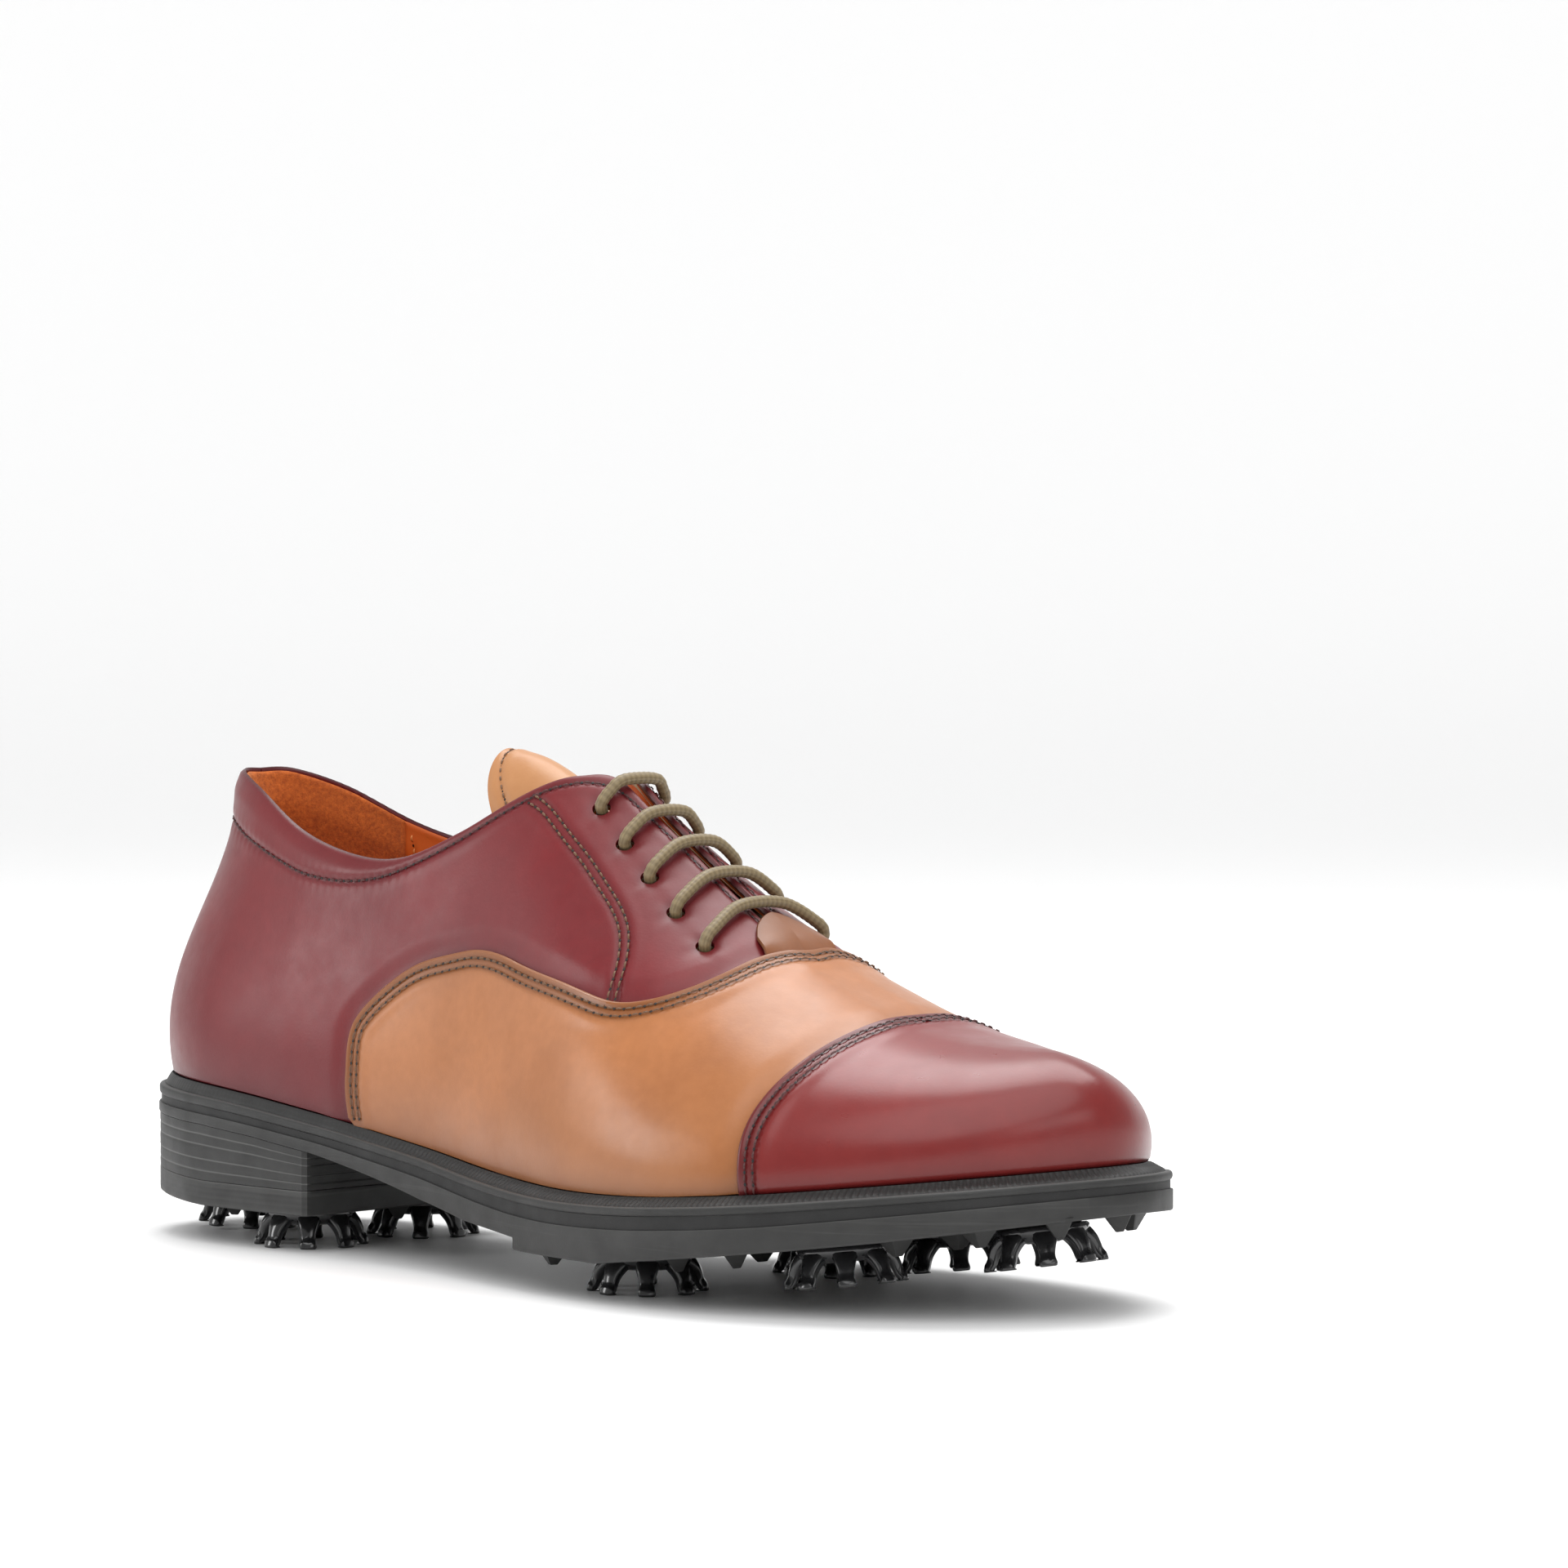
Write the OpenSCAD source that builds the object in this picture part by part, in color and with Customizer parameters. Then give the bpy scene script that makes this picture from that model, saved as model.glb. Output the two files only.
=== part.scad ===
// Right-foot golf shoe: cap-toe closed-lacing leather upper on a welted rubber
// sole with a block heel and eight twist-in soft cleats.
// +X runs to the toe, -Y is the outer side, +Z is up, and z = 0 is the ground.
// The drawing counts x from the back of the heel; placed() centres it on the Z axis.

/* [Overall size] */
// Length of the sole from heel to toe
shoe_length = 298; // [288:1:308]
// Width of the sole across the ball
ball_width = 108; // [104:1:112]
// Height of the heel collar above the ground
collar_height = 112; // [108:1:116]

/* [Upper] */
// Thickness of the outer leather
leather_t = 1.4; // [1.0:0.1:1.4]
// Thickness of the leather lining
lining_t = 0.9; // [0.6:0.1:0.9]
// Thickness of the tongue leather
tongue_t = 1.5; // [1.2:0.1:1.6]

/* [Lacing] */
// Diameter of the round lace
lace_d = 2.8; // [2.4:0.1:2.8]
// Diameter of the punched lace holes
eyelet_d = 4.4; // [4.2:0.1:4.8]
// Length of the tip at each lace end
aglet_length = 16; // [12:1:18]

/* [Heel] */
// Distance from the back of the heel to its front face
heel_depth = 78; // [72:1:80]
// Thickness of the heel's wearing layer
top_lift_t = 6; // [5.5:0.1:6.5]

/* [Cleats] */
// Diameter over the feet of a cleat
cleat_d = 27; // [25:0.5:28]
// Height of a cleat below the sole
cleat_h = 9; // [8.5:0.1:9.5]
// Number of legs on a cleat
cleat_legs = 8; // [6:1:9]
// Diameter of the stud that holds a cleat
stud_d = 8; // [7:0.5:9]

/* [Hidden] */

$fn = 48;
burgundy = [0.42, 0.15, 0.16];
tan_leather = [0.78, 0.55, 0.34];
brown = [0.50, 0.30, 0.16];
orange = [0.86, 0.46, 0.16];
board_tan = [0.72, 0.60, 0.44];
rubber_black = [0.13, 0.13, 0.13];
lace_olive = [0.47, 0.42, 0.30];
steel_grey = [0.62, 0.62, 0.64];

// Growth of the drawn size along each axis
grow_x = shoe_length / 298;
grow_y = ball_width / 108;
grow_z = collar_height / 112;

// Middle of the sole's outline, moved onto the Z axis
middle_x = 149.59 * grow_x;
middle_y = -0.59 * grow_y;

// Gap left between neighbouring layers
gap = 0.3;

// Stations round the shoe: 0 is the back of the heel, 1 to 10 the outer side,
// 11 the toe and 12 to 21 the inner side. Each holds the lower edge x and y, the
// upper edge x, y and z, then how far the section swells out and up from the
// lower edge, and how far it swells out and down from the upper edge.
lower_stations = [
    [4.5, 0], [11.5, -18.5], [33, -30], [62, -32], [92, -31], [121, -33],
    [151, -39.5], [182, -46.5], [212, -48.5], [241, -42.5], [272, -24], [293, 6],
    [283, 31], [257, 43], [222, 47.5], [187, 43], [153, 34], [121, 28],
    [91, 28], [61, 31], [33, 30], [11.5, 18.5]
];
// The upper edges of the inner side mirror those of the outer side.
upper_half = [
    [21, 0, 113], [25, -9, 113], [41, -15, 113], [64, -17, 113], [89, -16, 116],
    [115, -11, 120], [141, -3, 121], [167, 0, 103], [193, 2, 84], [220, 4, 69],
    [247, 6, 60.5], [270, 8, 58]
];
swell_stations = [
    [6, 30, 0, 30], [6, 30, 0, 30], [4, 26, 2, 30], [4, 22, 6, 30], [4, 20, 8, 30],
    [5, 20, 12, 22], [6, 20, 18, 11], [6, 20, 23, 4], [5, 18, 25, 2.5], [5, 17, 26, 4.5],
    [5, 17, 24, 3.5], [4, 17, 18, 2], [4, 17, 26, 3.5], [4, 17, 26, 4.5], [4, 18, 23, 2.5],
    [3, 26, 19, 4], [3, 28, 15, 11], [4, 28, 10, 22], [4, 26, 8, 30], [4, 26, 6, 30],
    [4, 28, 2, 30], [6, 30, 0, 30]
];
station_count = len(lower_stations);
toe_station = 11;
// From this station to the toe both sides share one ridge line.
ridge_start = 7;

function upper_edge(i) =
    let(k = i <= toe_station ? i : station_count - i, p = upper_half[k])
    i <= toe_station || k >= ridge_start ? p : [p[0], -p[1], p[2]];

stations = [
    for (i = [0:station_count - 1])
        let(low = lower_stations[i], up = upper_edge(i), s = swell_stations[i])
        [low[0] * grow_x, low[1] * grow_y, up[0] * grow_x, up[1] * grow_y, up[2] * grow_z,
         s[0] * grow_y, s[1] * grow_z, s[2] * grow_y, s[3] * grow_z]
];

// Height of the sole's top edge, where the upper meets the welt, along x
feather_line = [
    [0, 38.5], [20, 38.1], [40, 37.2], [60, 35.3], [80, 32.7], [100, 29.8], [120, 27.3],
    [140, 25.1], [160, 23.6], [180, 23.1], [200, 23.6], [220, 24.9], [240, 26.7],
    [260, 28.9], [280, 31.2], [300, 33.6]
];
welt_thickness = [[0, 4.6], [80, 3.6], [120, 2.8], [300, 2.8]];
midsole_thickness = [[0, 2.2], [80, 2.2], [120, 3.2], [160, 3.8], [240, 3.8], [300, 3.0]];
// Height of the outsole's underside behind the tread, along x
waist_line = [
    [0, 29.1], [20, 28.9], [40, 28.3], [60, 26.6], [80, 24], [100, 20.2], [120, 16.3],
    [140, 13.4], [163, 11.7]
];
// Height of the underside of the tread, along x
tread_line = [
    [163, 9], [195, 9], [210, 10.8], [228, 12.9], [246, 15.1], [264, 17.5], [282, 20.3],
    [300, 23.2]
];
// Height of the heel's underside, along x
heel_line = [[-5, 10.8], [0, 10.6], [40, 9], [90, 9]];
// How far the sole stands out past the upper, along x
sole_margin = [[0, 3.3], [100, 3.5], [160, 5], [300, 5]];

// Moves a sub-part so that the middle of the shoe stands over the origin
module placed() {
    translate([-middle_x, -middle_y, 0]) children();
}

// ---- general geometry ----

function mix(a, b, t) = a + (b - a) * t;
function unit(v) = v / norm(v);
function ramp(t) = let(c = min(max(t, 0), 1)) c * c * (3 - 2 * c);
function catmull(a, b, c, d, t) =
    (2 * b + (c - a) * t + (2 * a - 5 * b + 4 * c - d) * t * t
     + (3 * b - a - 3 * c + d) * t * t * t) / 2;

// Smooth open curve through a list of points, t counted in points
function along(points, t) =
    let(last = len(points) - 1, i = min(floor(t), last - 1))
    catmull(points[max(i - 1, 0)], points[i], points[i + 1], points[min(i + 2, last)], t - i);

// Closed ring of stations, u counted in stations
function station(u) =
    let(n = station_count, i = floor(u), k = i + 2 * n)
    catmull(stations[(k - 1) % n], stations[k % n], stations[(k + 1) % n],
            stations[(k + 2) % n], u - i);

// Level direction that points out of the shoe at station u
function outward(u) =
    let(step = 0.02, a = station(u - step), b = station(u + step))
    unit([b[1] - a[1], a[0] - b[0], 0]);

function at_x(line, x) = lookup(x / grow_x, line);
function feather_height(x) = at_x(feather_line, x);

// Point of the upper's outer face: u round the shoe, v from welt to top
function face_point(u, v) =
    let(s = station(u), n = outward(u),
        a = [s[0], s[1], feather_height(s[0]) + gap],
        d = [s[2], s[3], s[4]],
        b = a + n * s[5] + [0, 0, s[6]],
        c = d + n * s[7] - [0, 0, s[8]],
        w = 1 - v)
    a * w * w * w + b * 3 * w * w * v + c * 3 * w * v * v + d * v * v * v;

function face_normal(u, v) =
    let(e = 0.01, w = min(max(v, e), 1 - e))
    unit(cross(face_point(u + e, w) - face_point(u - e, w), face_point(u, w + e) - face_point(u, w - e)));

// Point at a height above the upper's outer face
function skin(p, height) = face_point(p[0], p[1]) + face_normal(p[0], p[1]) * height;

// The same place on the inner side of the shoe
function mirrored(p) = [station_count - p[0], p[1]];
function reversed(list) = [for (i = [len(list) - 1:-1:0]) list[i]];

// ---- sheets ----

// Closed solid between two grids of points with the same rows and columns.
// A folded sheet joins the top points of its first and last rows.
module sheet_solid(outer, inner, folded = false) {
    rows = len(outer);
    cols = len(outer[0]);
    count = rows * cols;
    function at(i, j) = (folded && j == cols - 1 ? min(i, rows - 1 - i) : i) * cols + j;
    function strip(a, b, c, d) = [[a, b, c], [a, c, d]];
    faces = [
        for (i = [0:rows - 2])
            for (j = [0:cols - 2])
                let(a = at(i, j), b = at(i, j + 1), c = at(i + 1, j + 1), d = at(i + 1, j))
                each concat(strip(a, b, c, d),
                            strip(a + count, d + count, c + count, b + count)),
        for (j = [0:cols - 2])
            let(a = at(0, j), b = at(0, j + 1))
            each strip(a, a + count, b + count, b),
        for (j = [0:cols - 2])
            let(a = at(rows - 1, j), b = at(rows - 1, j + 1))
            each strip(a, b, b + count, a + count),
        for (i = [0:rows - 2])
            let(a = at(i, 0), b = at(i + 1, 0))
            each strip(a, b, b + count, a + count),
        if (!folded)
            for (i = [0:rows - 2])
                let(a = at(i, cols - 1), b = at(i + 1, cols - 1))
                each strip(a, a + count, b + count, b)
    ];
    polyhedron(points = concat([for (row = outer) each row], [for (row = inner) each row]),
               faces = faces, convexity = 8);
}

// Sheet on the upper's face: a grid of places, its outer height and its thickness
module upper_sheet(places, height, thickness, folded = false) {
    outer = [for (row = places) [for (p = row) skin(p, height(p))]];
    inner = [for (row = places) [for (p = row) skin(p, height(p) - thickness)]];
    sheet_solid(outer, inner, folded);
}

// Grid of places between a lower and an upper list of paired points
function ruled(lower, upper, steps, cols) =
    let(last = (len(lower) - 1) * steps)
    [for (i = [0:last])
        let(a = along(lower, i / steps), b = along(upper, i / steps))
        [for (j = [0:cols]) mix(a, b, j / cols)]];

// The same grid on the inner side, kept facing outwards
function inner_side(places) = reversed([for (row = places) [for (p = row) mirrored(p)]]);

// Grid that wraps the toe from a seam on the outer side to one on the inner side
function toe_wrap(seams, shift, rows, cols) =
    [for (i = [0:rows])
        let(t = 2 * i / rows - 1, seam = seams[t < 0 ? 0 : 1])
        [for (j = [0:cols])
            let(v = j / cols, reach = toe_station - lookup(v, seam) - shift)
            [toe_station + t * reach, v]]];

// A line of places from the back of the heel, carried on the same round the other side
function both_ways(half) = concat(
    reversed([for (p = half) [-p[0], p[1]]]),
    [for (i = [1:len(half) - 1]) half[i]]
);

// Outer height of a sheet that lies at one level
function level(height) = function(p) height;

// ---- pattern lines of the upper, as places on its face ----

// Toe cap seam on each side: station u, counted from the heel, for each height v
cap_seam_outer = [
    [0, 8.71], [0.2, 8.72], [0.3, 8.77], [0.4, 8.86], [0.5, 8.97], [0.6, 9.09], [0.7, 9.22],
    [0.8, 9.35], [0.9, 9.48], [1, 9.61]
];
cap_seam_inner = [
    [0, 8.33], [0.1, 8.35], [0.2, 8.42], [0.3, 8.52], [0.4, 8.67], [0.5, 8.84], [0.6, 9.02],
    [0.7, 9.19], [0.8, 9.34], [0.9, 9.48], [1, 9.61]
];
cap_seam = [cap_seam_outer, cap_seam_inner];
// Edge of the vamp over the quarters: height v for each station u
vamp_edge_line = [
    [3.9, 0], [3.93, 0.28], [4.05, 0.36], [4.25, 0.42], [4.6, 0.462], [5, 0.485],
    [5.4, 0.488], [5.85, 0.478], [6.2, 0.466], [6.65, 0.47], [7, 0.48], [7.35, 0.485],
    [7.6, 0.515], [7.9, 0.59], [8.15, 0.69], [8.3, 0.81], [8.45, 0.94], [8.5, 1]
];
// Station widths and section heights in millimetres, for seam allowances
station_mm = 30;
section_mm = 90;
tuck_depth = leather_t + gap;
tuck_ramp_mm = 5;
tuck_clear_mm = 1.5;

// How far a place is under the vamp, in millimetres, negative outside it
function under_vamp(p) =
    let(u = p[0] > toe_station ? station_count - p[0] : p[0])
    min((u - vamp_edge_line[0][0]) * station_mm, (lookup(u, vamp_edge_line) - p[1]) * section_mm);
function under_cap(p) =
    p[0] <= toe_station ? (p[0] - lookup(p[1], cap_seam_outer)) * station_mm
    : (station_count - p[0] - lookup(p[1], cap_seam_inner)) * station_mm;
// Outer height of a sheet that dives under its neighbour by one thickness
function tucked(depth_mm) = -tuck_depth * ramp((depth_mm + tuck_ramp_mm + tuck_clear_mm) / tuck_ramp_mm);

cap_rows = 44;
cap_cols = 10;
cap_places = toe_wrap(cap_seam, 0, cap_rows, cap_cols);
puff_shift = 0.42;
puff_places = toe_wrap(cap_seam, puff_shift, cap_rows - 6, cap_cols - 1);

// Vamp: from the sole and the toe cap seam up to its edge over the quarters
vamp_front_outer = [
    [3.98, 0], [4.3, 0], [5, 0], [5.8, 0], [6.6, 0], [7.4, 0], [8.3, 0], [9, 0.02],
    [9.03, 0.2], [9.14, 0.4], [9.35, 0.6], [9.61, 0.8], [9.9, 1]
];
vamp_front_inner = [
    [3.98, 0], [4.3, 0], [5, 0], [5.7, 0], [6.4, 0], [7.1, 0], [7.9, 0], [8.56, 0.02],
    [8.66, 0.2], [8.92, 0.4], [9.26, 0.6], [9.58, 0.8], [9.9, 1]
];
vamp_back = [
    [3.93, 0.02], [3.92, 0.17], [4.02, 0.345], [4.6, 0.462], [5.4, 0.488], [6.2, 0.466],
    [6.8, 0.474], [7.3, 0.484], [7.65, 0.53], [7.95, 0.61], [8.17, 0.71], [8.34, 0.85], [8.5, 1]
];
vamp_steps = 3;
vamp_cols = 8;
// Joins an outer and an inner half, drawn alike, at their last row on the ridge
function across_ridge(outer_half, inner_half) = concat(
    outer_half,
    [for (i = [len(inner_half) - 2:-1:0]) [for (p = inner_half[i]) mirrored(p)]]
);
vamp_places = across_ridge(ruled(vamp_front_outer, vamp_back, vamp_steps, vamp_cols),
                           ruled(vamp_front_inner, vamp_back, vamp_steps, vamp_cols));

// Quarter: from the sole and its margin under the vamp up to the topline and facing
quarter_low = [
    [0.008, 0], [1, 0], [1.9, 0], [2.8, 0], [3.5, 0], [4.18, 0], [4.27, 0.12], [4.34, 0.25],
    [4.9, 0.375], [5.9, 0.38], [6.6, 0.375], [7.2, 0.385], [7.7, 0.42], [8.1, 0.56],
    [8.38, 0.78]
];
quarter_top = [
    [0.008, 0.985], [1, 0.982], [1.9, 0.935], [2.8, 0.84], [3.5, 0.78], [4.1, 0.747],
    [4.6, 0.745], [5.2, 0.775], [5.75, 0.82], [6.15, 0.885], [6.45, 0.96], [6.9, 0.968],
    [7.4, 0.968], [7.9, 0.968], [8.3, 0.968]
];
quarter_places = ruled(quarter_low, quarter_top, 3, 9);

// Lace holes: station and height of each pair, from the top one down
eyelets = [for (k = [0:4]) [6.5 + 0.35 * k, 0.85 - 0.026 * k]];

// Linings
lining_seam = [[0, 5.72], [0.25, 6.3], [0.45, 7.1], [0.62, 7.8], [0.82, 8.4], [1, 8.7]];
vamp_lining_places = toe_wrap([lining_seam, lining_seam], 0, 50, 9);
quarter_lining_low = [
    [2.66, 0.01], [3.5, 0.01], [4.3, 0.01], [5, 0.01], [5.6, 0.01], [5.85, 0.12], [6.2, 0.26],
    [6.65, 0.38], [7.15, 0.49], [7.6, 0.62], [8.05, 0.78]
];
quarter_lining_top = [
    [2.66, 0.845], [3.5, 0.77], [4.2, 0.737], [4.9, 0.745], [5.5, 0.785], [5.95, 0.84],
    [6.3, 0.91], [6.65, 0.955], [7.2, 0.957], [7.75, 0.957], [8.2, 0.957]
];
quarter_lining_places = ruled(quarter_lining_low, quarter_lining_top, 3, 8);
heel_grip_half = [[0, 0.975], [1, 0.972], [1.9, 0.925], [2.6, 0.852]];
heel_grip_top = both_ways(heel_grip_half);
heel_grip_places = ruled([for (p = heel_grip_top) [p[0], 0.01]], heel_grip_top, 4, 8);

// Stiffeners between the outer leather and the lining
counter_half = [[0, 0.62], [1.2, 0.61], [2.3, 0.56], [3.1, 0.42], [3.5, 0.25]];
counter_top = both_ways(counter_half);
counter_places = ruled([for (p = counter_top) [p[0], 0]], counter_top, 4, 5);
collar_half_low = [[0, 0.865], [1.1, 0.84], [1.95, 0.79], [2.6, 0.745], [3.4, 0.705], [4.2, 0.7], [4.8, 0.72]];
collar_half_top = [[0, 0.965], [1.1, 0.96], [1.95, 0.91], [2.6, 0.84], [3.4, 0.77], [4.2, 0.73], [4.8, 0.735]];
collar_places = ruled(both_ways(collar_half_low), both_ways(collar_half_top), 3, 2);
stay_low = [[5.9, 0.775], [6.3, 0.73], [6.8, 0.71], [7.2, 0.695], [7.6, 0.685], [8.02, 0.7]];
stay_top = [[6.1, 0.86], [6.4, 0.93], [6.8, 0.955], [7.2, 0.955], [7.6, 0.955], [8.05, 0.95]];
stay_places = ruled(stay_low, stay_top, 4, 4);

puff_height = -tuck_depth;
stiffener_t = 1.2;
stay_t = 0.8;
lining_height = -(leather_t + stiffener_t + 2 * gap);
lining_depth = -lining_height + lining_t;

// ---- soles ----

sole_steps = 4;
sole_samples = [for (x = [-20:20:320]) x * grow_x];

// Plan outline, standing out from the upper's lower edge by a margin for each x
function outline(extra, margin) =
    [for (i = [0:station_count * sole_steps - 1])
        let(u = i / sole_steps, s = station(u), n = outward(u), d = at_x(margin, s[0]) + extra)
        [s[0] + n[0] * d, s[1] + n[1] * d]];
no_margin = [[0, 0], [300, 0]];

function edge_of(line) = [for (x = sole_samples) [x, at_x(line, x)]];
welt_top = edge_of(feather_line);
welt_bottom = [for (p = welt_top) [p[0], p[1] - at_x(welt_thickness, p[0])]];
midsole_bottom = [for (p = welt_bottom) [p[0], p[1] - at_x(midsole_thickness, p[0])]];
function scaled_line(line) = [for (p = line) [p[0] * grow_x, p[1]]];
function raised(line, rise) = [for (p = line) [p[0], p[1] + rise]];

// Sheet of sole: a plan outline cut to a side profile
module sole_layer(plan, top, bottom) {
    intersection() {
        linear_extrude(60) polygon(plan);
        rotate([90, 0, 0])
            linear_extrude(200, center = true)
                polygon(concat(top, reversed(bottom)));
    }
}

// Cleat places: x and y, the two front heel cleats first, then the rear one
cleat_places = [
    [60, -17], [62, 17], [20, 0],
    [184, -26], [189, 28], [240, -21], [229, 27], [274, 6]
];
cleat_count = len(cleat_places);
function under_height(x) =
    x < heel_depth * grow_x ? at_x(heel_line, x) : at_x(tread_line, x);
function under_slope(x) = (under_height(x + 1) - under_height(x - 1)) / 2;

// Places children in a cleat's frame: origin on the sole's underside, +Z into it
module at_cleat(k) {
    x = cleat_places[k][0] * grow_x;
    y = cleat_places[k][1] * grow_y;
    translate([x, y, under_height(x)])
        rotate([0, -atan(under_slope(x)), 0])
            children();
}

socket_r = 11;
socket_h = 4;
socket_play = 0.05;
stud_play = 0.08;
module cleat_pockets(from, to) {
    for (k = [from:to])
        at_cleat(k)
            translate([0, 0, -1])
                cylinder(h = socket_h + 1 + socket_play, r = socket_r + socket_play);
}

pin_r = 1.1;
pin_bottom = 18;
pin_places = [[14, 0], [30, -17], [30, 17], [58, -19], [58, 19]];
module pin_set(play) {
    for (p = pin_places)
        translate([p[0] * grow_x, p[1] * grow_y, pin_bottom - play])
            cylinder(h = 60, r = pin_r + play, $fn = 24);
}

// Tread lugs: x, y and turn of each small pyramid between the cleats
lug_h = 3.4;
lug_r = 4.6;
lug_places = [
    [170, -8, 0], [171, 8, 0], [186, 1, 45], [168, -40, 20], [206, -38, 0], [204, -10, 45],
    [206, 10, 45], [212, 38, -20], [222, -36, 0], [222, 0, 45], [248, 8, 45], [248, 30, 0],
    [260, -25, 30], [262, -8, 45], [264, 26, 0], [276, -16, 30], [290, -6, 0], [291, 12, 0],
    [282, 26, -30], [168, 24, 0]
];
heel_lug_places = [[8, -12, 30], [8, 12, -30], [38, -22, 0], [38, 22, 0], [40, 0, 45], [72, 0, 0]];
module lugs(places) {
    for (p = places)
        translate([p[0] * grow_x, p[1] * grow_y, under_height(p[0] * grow_x) + 0.6])
            rotate([180, 0, p[2]])
                cylinder(h = lug_h + 0.6, r1 = lug_r, r2 = 1.2, $fn = 4);
}

// ---- tongue ----

// Middle line of the tongue, base to tip, in x and z, and how far it lies to one side,
// with its half width and how much each side of it bows down
tongue_line = [
    [204, 67], [189, 77], [176, 86], [162, 95.4], [149, 104], [136, 111.6], [123.5, 117], [111.5, 119.2],
];
tongue_middle = [0, 0, 0, 0, -0.4, -0.6, -0.5, -0.5];
tongue_half_width = [19, 20, 20.5, 20, 18.5, 16.6, 14.8, 12.8];
tongue_bow_outer = [0.022, 0.03, 0.038, 0.05, 0.067, 0.084, 0.092, 0.095];
tongue_bow_inner = [0.022, 0.03, 0.04, 0.06, 0.084, 0.098, 0.1, 0.1];
// How far the tongue's top corners are rounded back
tongue_round = 5;
tongue_rows = 25;
tongue_cols = 11;
function tongue_point(i, j, sink) =
    let(t = i / tongue_rows * (len(tongue_line) - 1), s = 2 * j / tongue_cols - 1,
        mid = along(tongue_line, t), next = along(tongue_line, t + 0.01),
        dir = unit([next[0] - mid[0], 0, next[1] - mid[1]]),
        up = [dir[2], 0, -dir[0]],
        y = s * along(tongue_half_width, t),
        bow = along(s < 0 ? tongue_bow_outer : tongue_bow_inner, t),
        round_tip = tongue_round * pow(s, 4) * max(0, t - len(tongue_line) + 3) / 2,
        lean = unit([0, 2 * bow * y, 1]))
    [(mid[0] + round_tip) * grow_x, (y + along(tongue_middle, t)) * grow_y, (mid[1] - bow * y * y) * grow_z]
    - up * lean[2] * sink - [0, lean[1] * sink, 0];

// ---- lace ----

// Heights of the lace's middle over the face, inside and outside a lace hole
lace_inside = -(lining_depth + 0.2 + lace_d / 2);
lace_outside = lace_d / 2 + 0.4;
function eyelet_place(k, side) = side < 0 ? eyelets[k] : mirrored(eyelets[k]);

// One bar across the facings, from one side's hole to the other's
function lace_bar(k, side) =
    let(near = eyelets[k], u = near[0], v = near[1],
        half = [
            skin(near, lace_inside), skin(near, -leather_t), skin([u, v + 0.004], 0.9),
            skin([u + 0.01, v + 0.04], lace_outside + 0.5),
            skin([u + 0.02, mix(v, 1, 0.65)], lace_outside + 0.9)
        ],
        other = [
            for (p = reversed([
                [near, lace_inside], [near, -leather_t], [[u, v + 0.004], 0.9],
                [[u + 0.01, v + 0.04], lace_outside + 0.5],
                [[u + 0.02, mix(v, 1, 0.65)], lace_outside + 0.9]
            ])) skin(mirrored(p[0]), p[1])
        ],
        bar = concat(half, other))
    side < 0 ? bar : reversed(bar);

// A stretch that runs hidden behind the facing between two holes
function under_run(side, steps) =
    [for (s = steps)
        let(p = [mix(eyelets[0][0], eyelets[4][0], s / 4), mix(eyelets[0][1], eyelets[4][1], s / 4)])
        skin(side < 0 ? p : mirrored(p), lace_inside)];

// Tucked ends: places and heights between the tongue and the quarter lining
tuck_route = [
    [6.62, 0.8], [6.8, 0.755], [7.05, 0.735], [7.3, 0.715], [7.5, 0.68], [7.58, 0.63],
    [7.48, 0.59], [7.25, 0.575], [7, 0.575]
];
tuck_last = len(tuck_route) - 1;
// Extra depth of the lace's tip, so that the straight aglet clears the curved lining
tip_sink = 0.7;
function tuck_point(side, i) =
    skin(side < 0 ? tuck_route[i] : mirrored(tuck_route[i]), lace_inside - tip_sink * i / tuck_last);
function tucked_end(side) = [for (i = [0:tuck_last]) tuck_point(side, i)];

// One end is tucked on the outer side after the second bar, the other on the inner
// side after the first, so the route starts and finishes at a tip.
lace_route = concat(
    reversed(tucked_end(-1)), reversed(lace_bar(1, 1)),
    under_run(1, [2]), lace_bar(3, 1),
    lace_bar(4, -1),
    under_run(1, [3.4, 3, 2.6]), lace_bar(2, 1),
    under_run(-1, [1]), lace_bar(0, -1), tucked_end(1)
);

// Frames carried along a route without twisting
function tube_sides(route, normal, i = 0) =
    i >= len(route) ? [] :
    let(before = route[max(i - 1, 0)], after = route[min(i + 1, len(route) - 1)],
        t = unit(after - before), n = unit(normal - t * (normal * t)))
    concat([[n, cross(t, n)]], tube_sides(route, n, i + 1));

module tube(route, diameter, sides) {
    frames = tube_sides(route, unit(cross(route[1] - route[0], [0.3, 0.5, 1])));
    points = [
        for (i = [0:len(route) - 1])
            for (s = [0:sides - 1])
                let(a = 360 * s / sides)
                route[i] + (frames[i][0] * cos(a) + frames[i][1] * sin(a)) * diameter / 2
    ];
    last = (len(route) - 1) * sides;
    faces = [
        [for (s = [0:sides - 1]) s],
        [for (s = [sides - 1:-1:0]) last + s],
        for (i = [0:len(route) - 2])
            for (s = [0:sides - 1])
                let(a = i * sides + s, b = i * sides + (s + 1) % sides)
                each [[a, a + sides, b + sides], [a, b + sides, b]]
    ];
    polyhedron(points = points, faces = faces, convexity = 10);
}

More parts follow.
